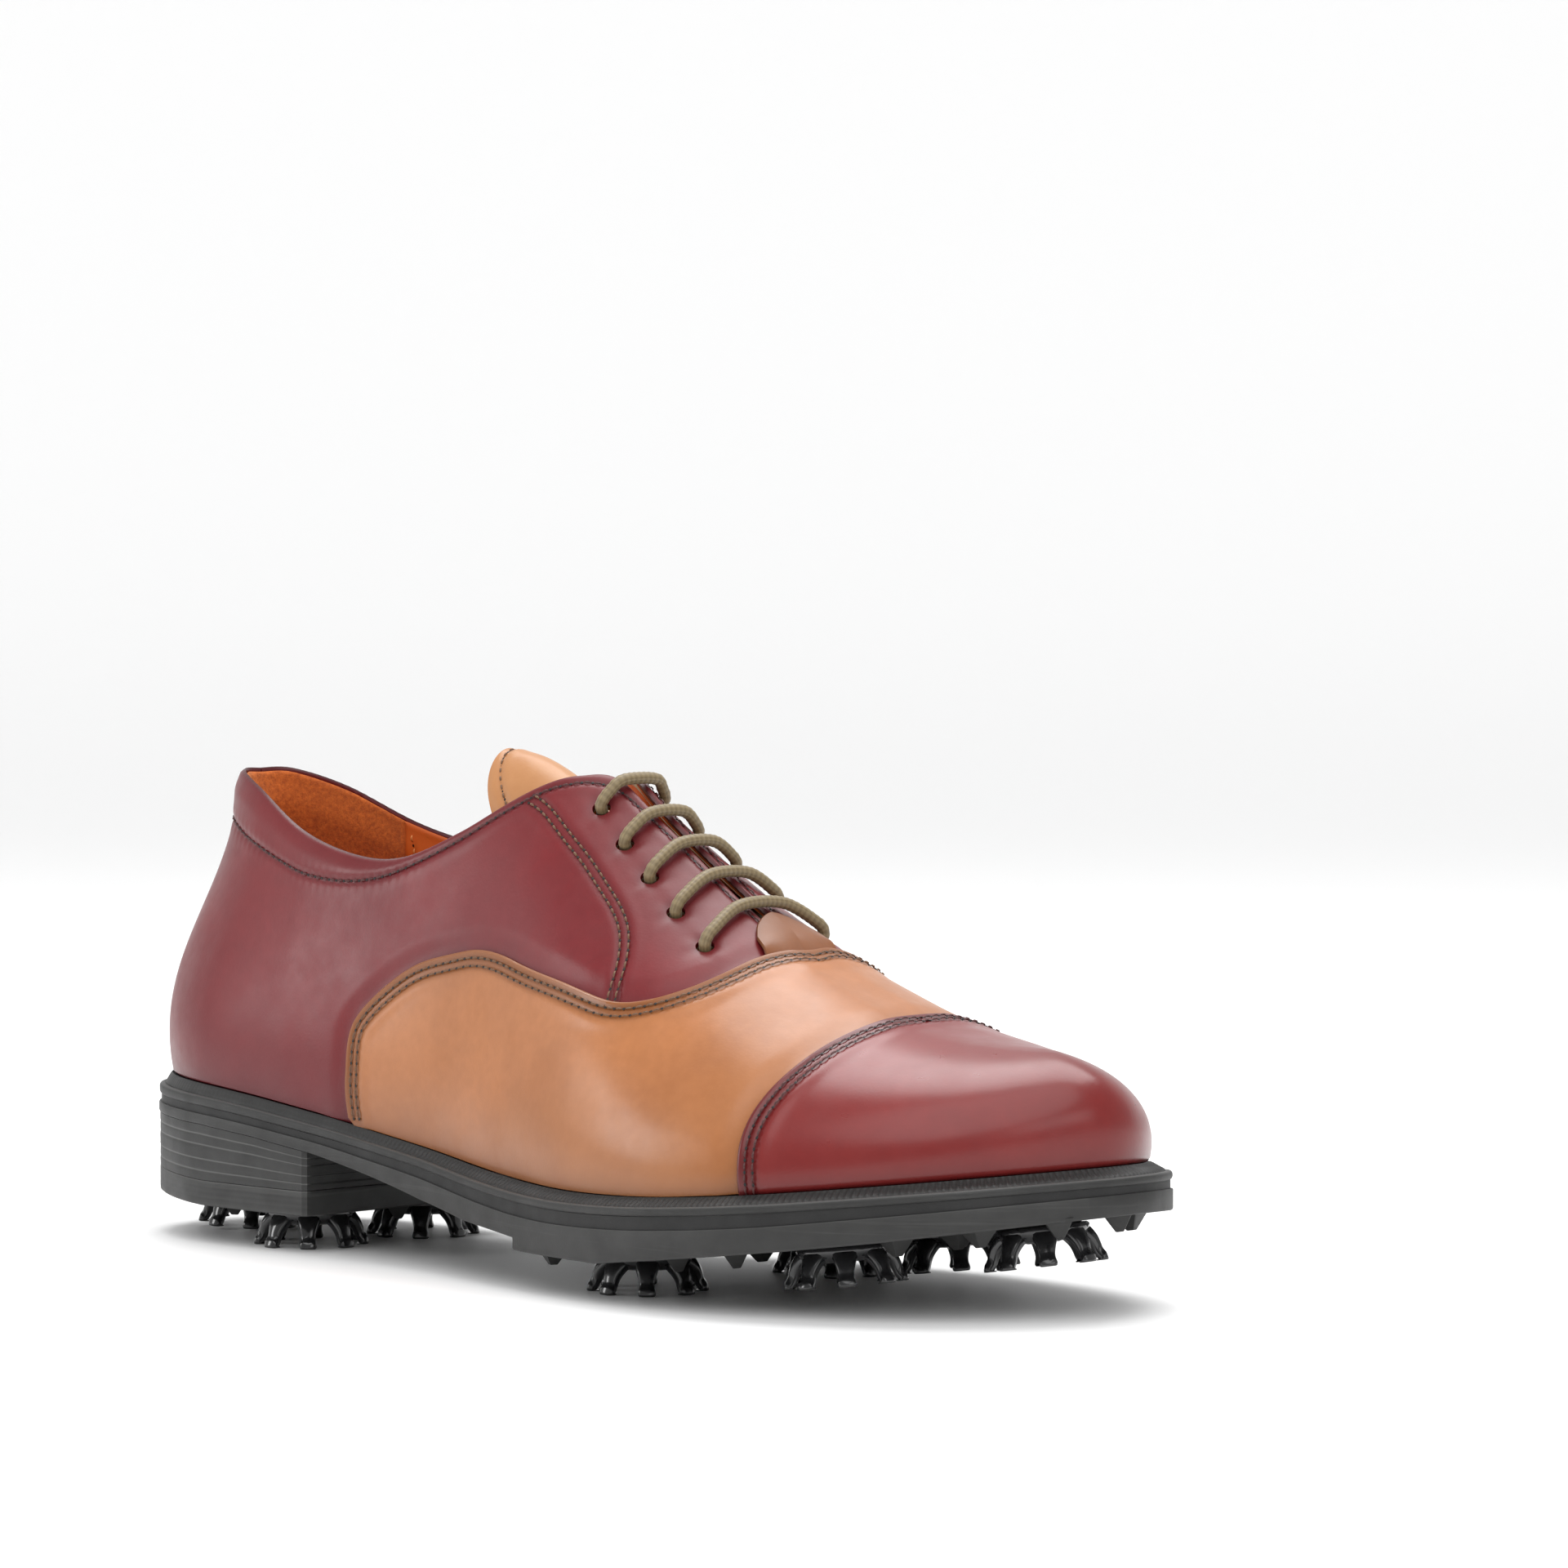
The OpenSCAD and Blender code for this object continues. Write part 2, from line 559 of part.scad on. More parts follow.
// Punched lace holes through every layer of one facing
module eyelet_holes(side) {
    for (k = [0:len(eyelets) - 1]) {
        p = eyelet_place(k, side);
        z = face_normal(p[0], p[1]);
        x = unit(cross([0, 1, 0], z));
        y = cross(z, x);
        c = face_point(p[0], p[1]);
        multmatrix([
            [x[0], y[0], z[0], c[0]], [x[1], y[1], z[1], c[1]], [x[2], y[2], z[2], c[2]],
            [0, 0, 0, 1]
        ])
            cylinder(h = 14, r = eyelet_d / 2, center = true, $fn = 24);
    }
}

// ---- sub-parts ----

module toe_cap() {
    color(burgundy) placed() upper_sheet(cap_places, level(0), leather_t, folded = true);
}

module vamp() {
    color(tan_leather) placed()
        upper_sheet(vamp_places, function(p) tucked(under_cap(p)), leather_t);
}

module quarter(places, side) {
    color(burgundy) placed()
        difference() {
            upper_sheet(places, function(p) tucked(under_vamp(p)), leather_t);
            eyelet_holes(side);
        }
}

module quarter_outer() {
    quarter(quarter_places, -1);
}

module quarter_inner() {
    quarter(inner_side(quarter_places), 1);
}

tab_t = 1.1;
module throat_tab() {
    low = [[8.33, 0.85], [8.38, 0.89], [8.42, 0.95], [8.44, 1]];
    top = [[8.2, 0.87], [8.12, 0.91], [8.06, 0.96], [8.04, 1]];
    half = ruled(low, top, 2, 3);
    color(brown) placed() upper_sheet(across_ridge(half, half), level(gap + tab_t), tab_t);
}

module facing_stay(places, side) {
    color(board_tan) placed()
        difference() {
            upper_sheet(places, level(puff_height), stay_t);
            eyelet_holes(side);
        }
}

module facing_stay_outer() {
    facing_stay(stay_places, -1);
}

module facing_stay_inner() {
    facing_stay(inner_side(stay_places), 1);
}

module toe_puff() {
    color(board_tan) placed() upper_sheet(puff_places, level(puff_height), stiffener_t, folded = true);
}

module heel_counter() {
    color(board_tan) placed() upper_sheet(counter_places, level(puff_height), stiffener_t);
}

module collar_padding() {
    color(orange) placed() upper_sheet(collar_places, level(puff_height), stiffener_t);
}

module vamp_lining() {
    color(orange) placed() upper_sheet(vamp_lining_places, level(lining_height - tuck_depth), lining_t, folded = true);
}

module quarter_lining(places, side) {
    color(orange) placed()
        difference() {
            upper_sheet(places, level(lining_height), lining_t);
            eyelet_holes(side);
        }
}

module quarter_lining_outer() {
    quarter_lining(quarter_lining_places, -1);
}

module quarter_lining_inner() {
    quarter_lining(inner_side(quarter_lining_places), 1);
}

module heel_grip_lining() {
    color(orange) placed() upper_sheet(heel_grip_places, level(lining_height), lining_t);
}

module tongue_sheet(sink, thickness, from_row) {
    rows = [from_row:tongue_rows];
    outer = [for (i = rows) [for (j = [0:tongue_cols]) tongue_point(i, j, sink)]];
    inner = [for (i = rows) [for (j = [0:tongue_cols]) tongue_point(i, j, sink + thickness)]];
    sheet_solid(inner, outer);
}

module tongue() {
    color(tan_leather) placed() tongue_sheet(0, tongue_t, 0);
}

module tongue_lining() {
    color(orange) placed() tongue_sheet(tongue_t + gap, lining_t, 1);
}

module shoelace() {
    color(lace_olive) placed() tube(lace_route, lace_d, 8);
}

// Metal tip that carries on from the end of the lace
module aglet(side) {
    end = tuck_point(side, tuck_last);
    before = tuck_point(side, tuck_last - 1);
    z = unit(end - before);
    x = unit(cross([0, 1, 0], z));
    y = cross(z, x);
    color(brown) placed()
        multmatrix([
            [x[0], y[0], z[0], end[0]], [x[1], y[1], z[1], end[1]], [x[2], y[2], z[2], end[2]],
            [0, 0, 0, 1]
        ])
            translate([0, 0, gap])
                cylinder(h = aglet_length, r = lace_d / 2 - 0.2, $fn = 24);
}

module aglet_outer() {
    aglet(-1);
}

module aglet_inner() {
    aglet(1);
}

// Inside the upper's walls, clear of the lining all round
floor_inset = -(lining_depth + tuck_depth + gap);
board_t = 2.2;
liner_t = 2;

module sock_liner() {
    color(orange) placed()
        sole_layer(outline(floor_inset - gap, no_margin),
                   raised(welt_top, 0.1 + board_t + liner_t), raised(welt_top, 0.1 + board_t));
}

module insole_board() {
    color(board_tan) placed()
        sole_layer(outline(floor_inset, no_margin),
                   raised(welt_top, 0.1 + board_t), raised(welt_top, 0.1));
}

rib_inset = -7;
shank_t = 1.4;
shank_half_width = 7;
module shank_blank(play) {
    intersection() {
        sole_layer(outline(rib_inset - 5, no_margin), raised(welt_top, 1), raised(welt_top, -shank_t - play));
        translate([(46 - play) * grow_x, -shank_half_width - play, 0])
            cube([(104 + 2 * play) * grow_x, 2 * (shank_half_width + play), 60]);
    }
}

module cork_filler() {
    color([0.70, 0.52, 0.33]) placed()
        difference() {
            sole_layer(outline(rib_inset, no_margin), welt_top, welt_bottom);
            shank_blank(socket_play);
        }
}

module shank() {
    color(steel_grey) placed()
        intersection() {
            shank_blank(0);
            sole_layer(outline(rib_inset, no_margin), welt_top, welt_bottom);
        }
}

module welt() {
    color(rubber_black) placed()
        difference() {
            sole_layer(outline(0, sole_margin), welt_top, welt_bottom);
            linear_extrude(80) polygon(outline(rib_inset + 0.1, no_margin));
        }
}

groove_depth = 1.3;
module midsole() {
    color(rubber_black) placed()
        difference() {
            sole_layer(outline(-groove_depth, sole_margin), welt_bottom, midsole_bottom);
            pin_set(socket_play);
        }
}

module outsole() {
    underside = concat(scaled_line([[-20, waist_line[0][1]]]), scaled_line(waist_line),
                       scaled_line(tread_line), scaled_line([[320, 26.4]]));
    color(rubber_black) placed()
        difference() {
            union() {
                sole_layer(outline(0.2, sole_margin), midsole_bottom, underside);
                lugs(lug_places);
            }
            cleat_pockets(3, cleat_count - 1);
            pin_set(socket_play);
        }
}

module heel_layer(top, bottom) {
    intersection() {
        sole_layer(outline(0, sole_margin), top, bottom);
        translate([-20, -60, 0]) cube([20 + heel_depth * grow_x, 120, 60]);
    }
}
heel_joint = [[-20, 10.8 + top_lift_t], [0, 10.6 + top_lift_t], [40, 9 + top_lift_t], [90, 9 + top_lift_t]];

module heel_block() {
    seat = concat(scaled_line([[-20, waist_line[0][1]]]), scaled_line(waist_line));
    color(rubber_black) placed()
        difference() {
            heel_layer(seat, concat(scaled_line(heel_joint), [[163 * grow_x, 9 + top_lift_t - 6]]));
            pin_set(socket_play);
        }
}

module top_lift() {
    color(rubber_black) placed()
        difference() {
            union() {
                heel_layer(scaled_line(heel_joint), scaled_line([[-20, 10.8], [0, 10.6], [40, 9], [90, 9]]));
                lugs(heel_lug_places);
            }
            cleat_pockets(0, 2);
        }
}

module heel_pins() {
    color(steel_grey) placed()
        intersection() {
            pin_set(0);
            rotate([90, 0, 0])
                linear_extrude(200, center = true)
                    polygon(concat(raised(welt_bottom, -0.2), [[320, 0], [-20, 0]]));
        }
}

module receptacle(k) {
    color(steel_grey) placed()
        at_cleat(k)
            difference() {
                cylinder(h = socket_h, r = socket_r);
                translate([0, 0, -1]) cylinder(h = socket_h + 2, r = stud_d / 2 + stud_play);
            }
}

// Soft cleat: flange, stud and a ring of curved legs with turned-out feet
module cleat(k) {
    foot = cleat_d / 2;
    flange_r = foot - 3;
    flange_t = 2;
    leg = [
        [foot - 7, -1], [flange_r, -0.8], [foot - 1.9, -3.6], [foot - 1.1, -cleat_h + 2.4],
        [foot, -cleat_h + 0.9], [foot, -cleat_h], [foot - 3.1, -cleat_h],
        [foot - 3.9, -cleat_h + 2.2], [foot - 5, -cleat_h + 4.6], [foot - 7, -2 - flange_t / 2]
    ];
    leg_w = 3.2;
    color([0.05, 0.05, 0.05]) placed()
        at_cleat(k) {
            translate([0, 0, -flange_t]) cylinder(h = flange_t - 0.2, r = flange_r);
            translate([0, 0, -1]) cylinder(h = socket_h + 1 - gap, r = stud_d / 2);
            translate([0, 0, -flange_t - 1.2]) cylinder(h = 1.4, r1 = 4, r2 = 5.5);
            for (i = [0:cleat_legs - 1])
                rotate([0, 0, 360 * i / cleat_legs])
                    rotate([90, 0, 0])
                        linear_extrude(leg_w, center = true) polygon(leg);
        }
}

module receptacle_1() {
    receptacle(0);
}

module receptacle_2() {
    receptacle(1);
}

module receptacle_3() {
    receptacle(2);
}

module receptacle_4() {
    receptacle(3);
}

module receptacle_5() {
    receptacle(4);
}

module receptacle_6() {
    receptacle(5);
}

module receptacle_7() {
    receptacle(6);
}

module receptacle_8() {
    receptacle(7);
}

module cleat_1() {
    cleat(0);
}

module cleat_2() {
    cleat(1);
}

module cleat_3() {
    cleat(2);
}

module cleat_4() {
    cleat(3);
}

module cleat_5() {
    cleat(4);
}

module cleat_6() {
    cleat(5);
}

module cleat_7() {
    cleat(6);
}

module cleat_8() {
    cleat(7);
}

toe_cap();
vamp();
quarter_outer();
quarter_inner();
throat_tab();
facing_stay_outer();
facing_stay_inner();
toe_puff();
heel_counter();
collar_padding();
vamp_lining();
quarter_lining_outer();
quarter_lining_inner();
heel_grip_lining();
tongue();
tongue_lining();
shoelace();
aglet_outer();
aglet_inner();
sock_liner();
insole_board();
cork_filler();
shank();
welt();
midsole();
outsole();
heel_block();
top_lift();
heel_pins();
receptacle_1();
receptacle_2();
receptacle_3();
receptacle_4();
receptacle_5();
receptacle_6();
receptacle_7();
receptacle_8();
cleat_1();
cleat_2();
cleat_3();
cleat_4();
cleat_5();
cleat_6();
cleat_7();
cleat_8();
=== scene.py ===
"""Looks of the golf shoe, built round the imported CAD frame.

Lengths below are in millimetres in the drawing's own frame, which counts x from the
back of the heel; place() moves them into the row frame, in metres.
"""

import math

import bmesh
import bpy
import numpy as np
from mathutils import Matrix, Vector, kdtree


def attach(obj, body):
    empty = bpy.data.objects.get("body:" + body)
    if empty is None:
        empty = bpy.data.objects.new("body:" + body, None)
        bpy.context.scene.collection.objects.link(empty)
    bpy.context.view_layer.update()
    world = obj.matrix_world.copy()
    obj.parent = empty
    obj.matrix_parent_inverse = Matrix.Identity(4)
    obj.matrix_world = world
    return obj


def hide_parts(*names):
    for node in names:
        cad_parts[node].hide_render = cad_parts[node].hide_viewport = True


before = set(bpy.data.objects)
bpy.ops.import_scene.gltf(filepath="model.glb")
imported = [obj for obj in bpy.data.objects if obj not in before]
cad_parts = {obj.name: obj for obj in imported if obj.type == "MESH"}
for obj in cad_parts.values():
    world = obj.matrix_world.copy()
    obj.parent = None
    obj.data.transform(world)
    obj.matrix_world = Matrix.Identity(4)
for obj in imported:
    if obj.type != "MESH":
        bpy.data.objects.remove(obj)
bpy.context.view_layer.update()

MM = 0.001
MIDDLE = np.array([149.59, -0.59, 0.0])     # the drawing's point at the row frame's origin


def place(points):
    return (np.asarray(points, float) - MIDDLE) * MM


def add_object(name, data):
    obj = bpy.data.objects.new(name, data)
    bpy.context.scene.collection.objects.link(obj)
    return obj


def look_along(obj, direction):
    """Turns a camera or a light so that it looks along a direction."""
    obj.rotation_mode = "QUATERNION"
    obj.rotation_quaternion = direction.to_track_quat("-Z", "Y")


# ---- camera -------------------------------------------------------------------------

eye = Vector(place([1225.1, -1038.2, 173.1]))
target = Vector(place([171.3, 30.3, 111.3]))
camera_data = bpy.data.cameras.new("camera")
camera_data.sensor_width = 36
camera_data.lens = 149.6
camera_data.clip_start = 0.05
camera_data.clip_end = 50
camera = add_object("camera", camera_data)
camera.location = eye
look_along(camera, target - eye)
bpy.context.scene.camera = camera
bpy.context.scene.view_settings.view_transform = "Standard"

# ---- the face of the shoe -----------------------------------------------------------

# Stations round the shoe: 0 is the back of the heel, 1 to 10 the outer side, 11 the
# toe and 12 to 21 the inner side. A place on the face is (u, v): u counts stations and
# v runs from 0 at the sole to 1 at the top.
# LOWER: (x, y) of the bottom edge.
LOWER = [
    (4.5, 0), (11.5, -18.5), (33, -30), (62, -32), (92, -31), (121, -33),
    (151, -39.5), (182, -46.5), (212, -48.5), (241, -42.5), (272, -24), (293, 6),
    (283, 31), (257, 43), (222, 47.5), (187, 43), (153, 34), (121, 28),
    (91, 28), (61, 31), (33, 30), (11.5, 18.5),
]
# UPPER: (x, y, z) of the top edge, from the back to the toe; the inner side mirrors it
# up to RIDGE_START, and from there on both sides meet in one ridge.
UPPER = [
    (21, 0, 113), (25, -9, 113), (41, -15, 113), (64, -17, 113), (89, -16, 116),
    (115, -11, 120), (141, -3, 121), (167, 0, 103), (193, 2, 84), (220, 4, 69),
    (247, 6, 60.5), (270, 8, 58),
]
# SWELL: how the face bulges, as reach out and up from the bottom edge and reach out and
# down from the top edge.
SWELL = [
    (6, 30, 0, 30), (6, 30, 0, 30), (4, 26, 2, 30), (4, 22, 6, 30), (4, 20, 8, 30),
    (5, 20, 12, 22), (6, 20, 18, 11), (6, 20, 23, 4), (5, 18, 25, 2.5), (5, 17, 26, 4.5),
    (5, 17, 24, 3.5), (4, 17, 18, 2), (4, 17, 26, 3.5), (4, 17, 26, 4.5), (4, 18, 23, 2.5),
    (3, 26, 19, 4), (3, 28, 15, 11), (4, 28, 10, 22), (4, 26, 8, 30), (4, 26, 6, 30),
    (4, 28, 2, 30), (6, 30, 0, 30),
]
COUNT = len(LOWER)
TOE = 11
RIDGE_START = 7


def upper_edge(i):
    k = i if i <= TOE else COUNT - i
    x, y, z = UPPER[k]
    return (x, y, z) if i <= TOE or k >= RIDGE_START else (x, -y, z)


STATIONS = np.array([LOWER[i] + upper_edge(i) + SWELL[i] for i in range(COUNT)], float)
# Height along x of the feather line, where the upper meets the sole.
FEATHER = np.array([
    (0, 38.5), (20, 38.1), (40, 37.2), (60, 35.3), (80, 32.7), (100, 29.8), (120, 27.3),
    (140, 25.1), (160, 23.6), (180, 23.1), (200, 23.6), (220, 24.9), (240, 26.7),
    (260, 28.9), (280, 31.2), (300, 33.6),
])


def catmull(a, b, c, d, t):
    return (2 * b + (c - a) * t + (2 * a - 5 * b + 4 * c - d) * t ** 2
            + (3 * b - a - 3 * c + d) * t ** 3) / 2


def along(points, t):
    """Smooth open curve through a list of points, t counted in points."""
    points = np.asarray(points, float)
    t = np.asarray(t, float)
    last = len(points) - 1
    i = np.clip(np.floor(t).astype(int), 0, last - 1)
    f = (t - i)[..., None]
    return catmull(points[np.maximum(i - 1, 0)], points[i], points[i + 1],
                   points[np.minimum(i + 2, last)], f)


def smooth_line(table, x):
    """Value at x of a smooth curve through (x, value) pairs."""
    table = np.asarray(table, float)
    slopes = np.gradient(table[:, 1], table[:, 0])
    x = np.clip(x, table[0, 0], table[-1, 0])
    i = np.clip(np.searchsorted(table[:, 0], x) - 1, 0, len(table) - 2)
    h = table[i + 1, 0] - table[i, 0]
    t = (x - table[i, 0]) / h
    return ((2 * t ** 3 - 3 * t ** 2 + 1) * table[i, 1] + (t ** 3 - 2 * t ** 2 + t) * h * slopes[i]
            + (3 * t ** 2 - 2 * t ** 3) * table[i + 1, 1] + (t ** 3 - t ** 2) * h * slopes[i + 1])


def line_at(table, x):
    """Value at x of straight lines through (x, value) pairs."""
    table = np.asarray(table, float)
    return np.interp(x, table[:, 0], table[:, 1])


def station(u):
    """Row of STATIONS at a place u, which may lie between two stations."""
    i = np.floor(u).astype(int)
    f = (u - i)[..., None]
    return catmull(STATIONS[(i - 1) % COUNT], STATIONS[i % COUNT], STATIONS[(i + 1) % COUNT],
                   STATIONS[(i + 2) % COUNT], f)


def outward(u):
    """Level direction out of the shoe at u."""
    a, b = station(u - 0.02), station(u + 0.02)
    n = np.stack([b[..., 1] - a[..., 1], a[..., 0] - b[..., 0], np.zeros(u.shape)], -1)
    return n / np.linalg.norm(n, axis=-1, keepdims=True)


def feather(x):
    return smooth_line(FEATHER, x)


def face_point(u, v):
    """Point of the face: a cubic curve from the bottom edge to the top edge."""
    s, n = station(u), outward(u)
    v = v[..., None]
    w = 1 - v
    up = np.array([0, 0, 1.0])
    a = np.stack([s[..., 0], s[..., 1], feather(s[..., 0]) + 0.3], -1)
    d = s[..., 2:5]
    b = a + n * s[..., 5:6] + up * s[..., 6:7]
    c = d + n * s[..., 7:8] - up * s[..., 8:9]
    return a * w ** 3 + b * 3 * w * w * v + c * 3 * w * v * v + d * v ** 3


def unit(v):
    return v / np.maximum(np.linalg.norm(v, axis=-1, keepdims=True), 1e-9)


def face_normal(u, v):
    e = 0.01
    w = np.clip(v, e, 1 - e)
    return unit(np.cross(face_point(u + e, w) - face_point(u - e, w),
                         face_point(u, w + e) - face_point(u, w - e)))


def on_face(uv):
    u, v = uv[..., 0], uv[..., 1]
    return face_point(u, v), face_normal(u, v)


RIDGE_REACH = 9.0       # how far from the ridge the rounding begins
THROAT_U = 8.1          # the ridge is rounded from here to the toe


def ridge_round(uv):
    """How far the face sinks near the ridge so that its two sides meet without a crease."""
    u, v = uv[..., 0], uv[..., 1]
    s = station(u)
    slope = s[..., 8] / np.maximum(s[..., 7], 1)
    x = np.linalg.norm(face_point(u, v) - face_point(u, np.ones_like(v)), axis=-1)
    sink = slope * (x * x / (2 * RIDGE_REACH) + RIDGE_REACH / 2 - x)
    past_throat = ramp((np.minimum(u, COUNT - u) - THROAT_U) / 0.5)
    return np.where(x < RIDGE_REACH, -sink, 0) * past_throat


def skin(uv, height=0.0):
    """Points at a height over the face, with its ridge rounded."""
    uv = np.asarray(uv, float)
    base, normal = on_face(uv)
    return base + normal * (height + ridge_round(uv))[..., None]


def mirrored(uv):
    """The same places on the other side of the shoe."""
    uv = np.array(uv, float)
    uv[..., 0] = COUNT - uv[..., 0]
    return uv


def on_side(uv, side):
    """Places of the outer side, kept (side -1) or moved to the inner side (side 1)."""
    return np.array(uv, float) if side < 0 else mirrored(uv)


def across(outer, inner):
    """The outer half, then the inner half backwards, with the middle they share once."""
    return np.concatenate([outer, inner[::-1][1:]])


def ramp(t):
    c = np.clip(t, 0, 1)
    return c * c * (3 - 2 * c)


def eased(count, ends):
    """Parameters from 0 to 1 that crowd towards both ends."""
    s = np.linspace(0, 1, count)
    return s * (1 - ends) + (1 - np.cos(math.pi * s)) / 2 * ends


def lengths(line):
    """Length along a line of points, up to each of them."""
    return np.concatenate([[0], np.cumsum(np.linalg.norm(np.diff(line, axis=0), axis=1))])


def distance(points, line):
    """Distance of each point to the nearest of a line's points."""
    tree = kdtree.KDTree(len(line))
    for i, p in enumerate(line):
        tree.insert(p, i)
    tree.balance()
    flat = points.reshape(-1, 3)
    return np.array([tree.find(p)[2] for p in flat]).reshape(points.shape[:-1])


# ---- pattern lines, as places (u, v) on the face --------------------------------------

# The cap's seam: u at v = 0, 0.1 and so on up to 1.
CAP_OUTER = [8.71, 8.71, 8.72, 8.77, 8.86, 8.97, 9.09, 9.22, 9.35, 9.48, 9.61]
CAP_INNER = [8.33, 8.35, 8.42, 8.52, 8.67, 8.84, 9.02, 9.19, 9.34, 9.48, 9.61]
VAMP_BACK = [
    (3.93, 0.02), (3.92, 0.17), (4.02, 0.345), (4.6, 0.462), (5.4, 0.488), (6.2, 0.466),
    (6.8, 0.474), (7.3, 0.484), (7.65, 0.53), (7.95, 0.61), (8.17, 0.71), (8.34, 0.85), (8.5, 1),
]
VAMP_FRONT_OUTER = [
    (3.98, 0), (4.3, 0), (5, 0), (5.8, 0), (6.6, 0), (7.4, 0), (8.3, 0), (9, 0.02),
    (9.03, 0.2), (9.14, 0.4), (9.35, 0.6), (9.61, 0.8), (9.9, 1),
]
VAMP_FRONT_INNER = [
    (3.98, 0), (4.3, 0), (5, 0), (5.7, 0), (6.4, 0), (7.1, 0), (7.9, 0), (8.56, 0.02),
    (8.66, 0.2), (8.92, 0.4), (9.26, 0.6), (9.58, 0.8), (9.9, 1),
]
QUARTER_LOW = [
    (0.008, 0), (1, 0), (1.9, 0), (2.8, 0), (3.5, 0), (4.18, 0), (4.27, 0.12), (4.34, 0.25),
    (4.9, 0.375), (5.9, 0.38), (6.6, 0.375), (7.2, 0.385), (7.7, 0.42), (8.1, 0.56),
    (8.38, 0.78),
]
QUARTER_TOP = [
    (0.008, 0.985), (1, 0.982), (1.9, 0.935), (2.8, 0.84), (3.5, 0.78), (4.1, 0.747),
    (4.6, 0.745), (5.2, 0.775), (5.75, 0.82), (6.15, 0.885), (6.45, 0.96), (6.9, 0.968),
    (7.4, 0.968), (7.9, 0.968), (8.3, 0.968),
]
COLLAR_STITCH = [
    (0.02, 0.862), (1.1, 0.842), (1.95, 0.792), (2.55, 0.752), (3.05, 0.718), (3.55, 0.702),
    (4.05, 0.702), (4.45, 0.712), (4.85, 0.728), (5.3, 0.757), (5.7, 0.787), (6.05, 0.835),
    (6.3, 0.885), (6.52, 0.925), (6.85, 0.94), (7.4, 0.942), (7.9, 0.943), (8.25, 0.944),
]
STAY_STITCH = [
    (5.78, 0.792), (6.25, 0.742), (6.65, 0.718), (6.95, 0.69), (7.15, 0.66), (7.25, 0.625),
    (7.3, 0.575), (7.3, 0.505), (7.29, 0.465),
]
EYELETS = [(6.5 + 0.35 * k, 0.85 - 0.026 * k) for k in range(5)]
HALF_EDGE = 400         # points of one half of the vamp's edge


def column(values):
    return [(value,) for value in values]


def curve_uv(points, samples):
    return along(points, np.linspace(0, len(points) - 1, samples))


def vamp_edge():
    """The vamp's edge over the quarters, from the outer sole over the throat and down."""
    half = curve_uv(VAMP_BACK, HALF_EDGE)
    return across(half, mirrored(half))


def cap_seam_u(v, side):
    """u of the cap's seam at v, counted from the back on its own side."""
    return along(column(CAP_OUTER if side < 0 else CAP_INNER), v * 10)[..., 0]


def cap_seam():
    v = np.linspace(0, 1, 200)
    return across(np.stack([cap_seam_u(v, -1), v], -1),
                  mirrored(np.stack([cap_seam_u(v, 1), v], -1)))


# ---- mesh making ------------------------------------------------------------------

MATERIALS = {}


def finish_mesh(mesh, sharp):
    mesh.polygons.foreach_set("use_smooth", np.ones(len(mesh.polygons), bool))
    mesh.set_sharp_from_angle(angle=math.radians(sharp))
    mesh.update()


def new_mesh(name, points, faces, attributes):
    """A mesh from points in millimetres, with named values at its points."""
    mesh = bpy.data.meshes.new(name)
    mesh.from_pydata(place(points).tolist(), [], faces)
    for key, values in attributes.items():
        layer = mesh.attributes.new(key, "FLOAT", "POINT")
        layer.data.foreach_set("value", np.asarray(values, np.float32).ravel())
    return mesh


def add_piece(name, mesh, bm, material, sharp, body="shoe", node=None, slot=None):
    """Writes the worked mesh back and puts it on its body, in place of its CAD node."""
    bmesh.ops.recalc_face_normals(bm, faces=bm.faces)
    bm.to_mesh(mesh)
    bm.free()
    finish_mesh(mesh, sharp)
    obj = add_object(name, mesh)
    mesh.materials.append(MATERIALS[material])
    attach(obj, body)
    if node:
        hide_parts(node)
    return obj


def make_object(name, points, faces, material, attributes=None, weld=0.0, sharp=40.0, **more):
    """A piece from points in millimetres; points closer than weld become one."""
    mesh = new_mesh(name, points, faces, attributes or {})
    bm = bmesh.new()
    bm.from_mesh(mesh)
    if weld:
        bmesh.ops.remove_doubles(bm, verts=bm.verts, dist=weld * MM)
    return add_piece(name, mesh, bm, material, sharp, **more)


def grid_faces(rows, cols, start=0, closed=False):
    """Quads of a grid of rows x cols points; closed joins the last row to the first."""
    faces = []
    for i in range(rows if closed else rows - 1):
        a, b = start + i * cols, start + (i + 1) % rows * cols
        faces.extend([a + j, a + j + 1, b + j + 1, b + j] for j in range(cols - 1))
    return faces


def tube_faces(rings, sides, start=0):
    """Faces of rings of points one after another, with a cap at each end."""
    faces = []
    for i in range(rings - 1):
        a, b = start + i * sides, start + (i + 1) * sides
        faces.extend([a + q, a + (q + 1) % sides, b + (q + 1) % sides, b + q] for q in range(sides))
    faces.append([start + q for q in range(sides)][::-1])
    faces.append([start + (rings - 1) * sides + q for q in range(sides)])
    return faces


SOFTEN_ROUNDS = 36
SOFTEN_REACH = 9        # grid columns beside the ridge


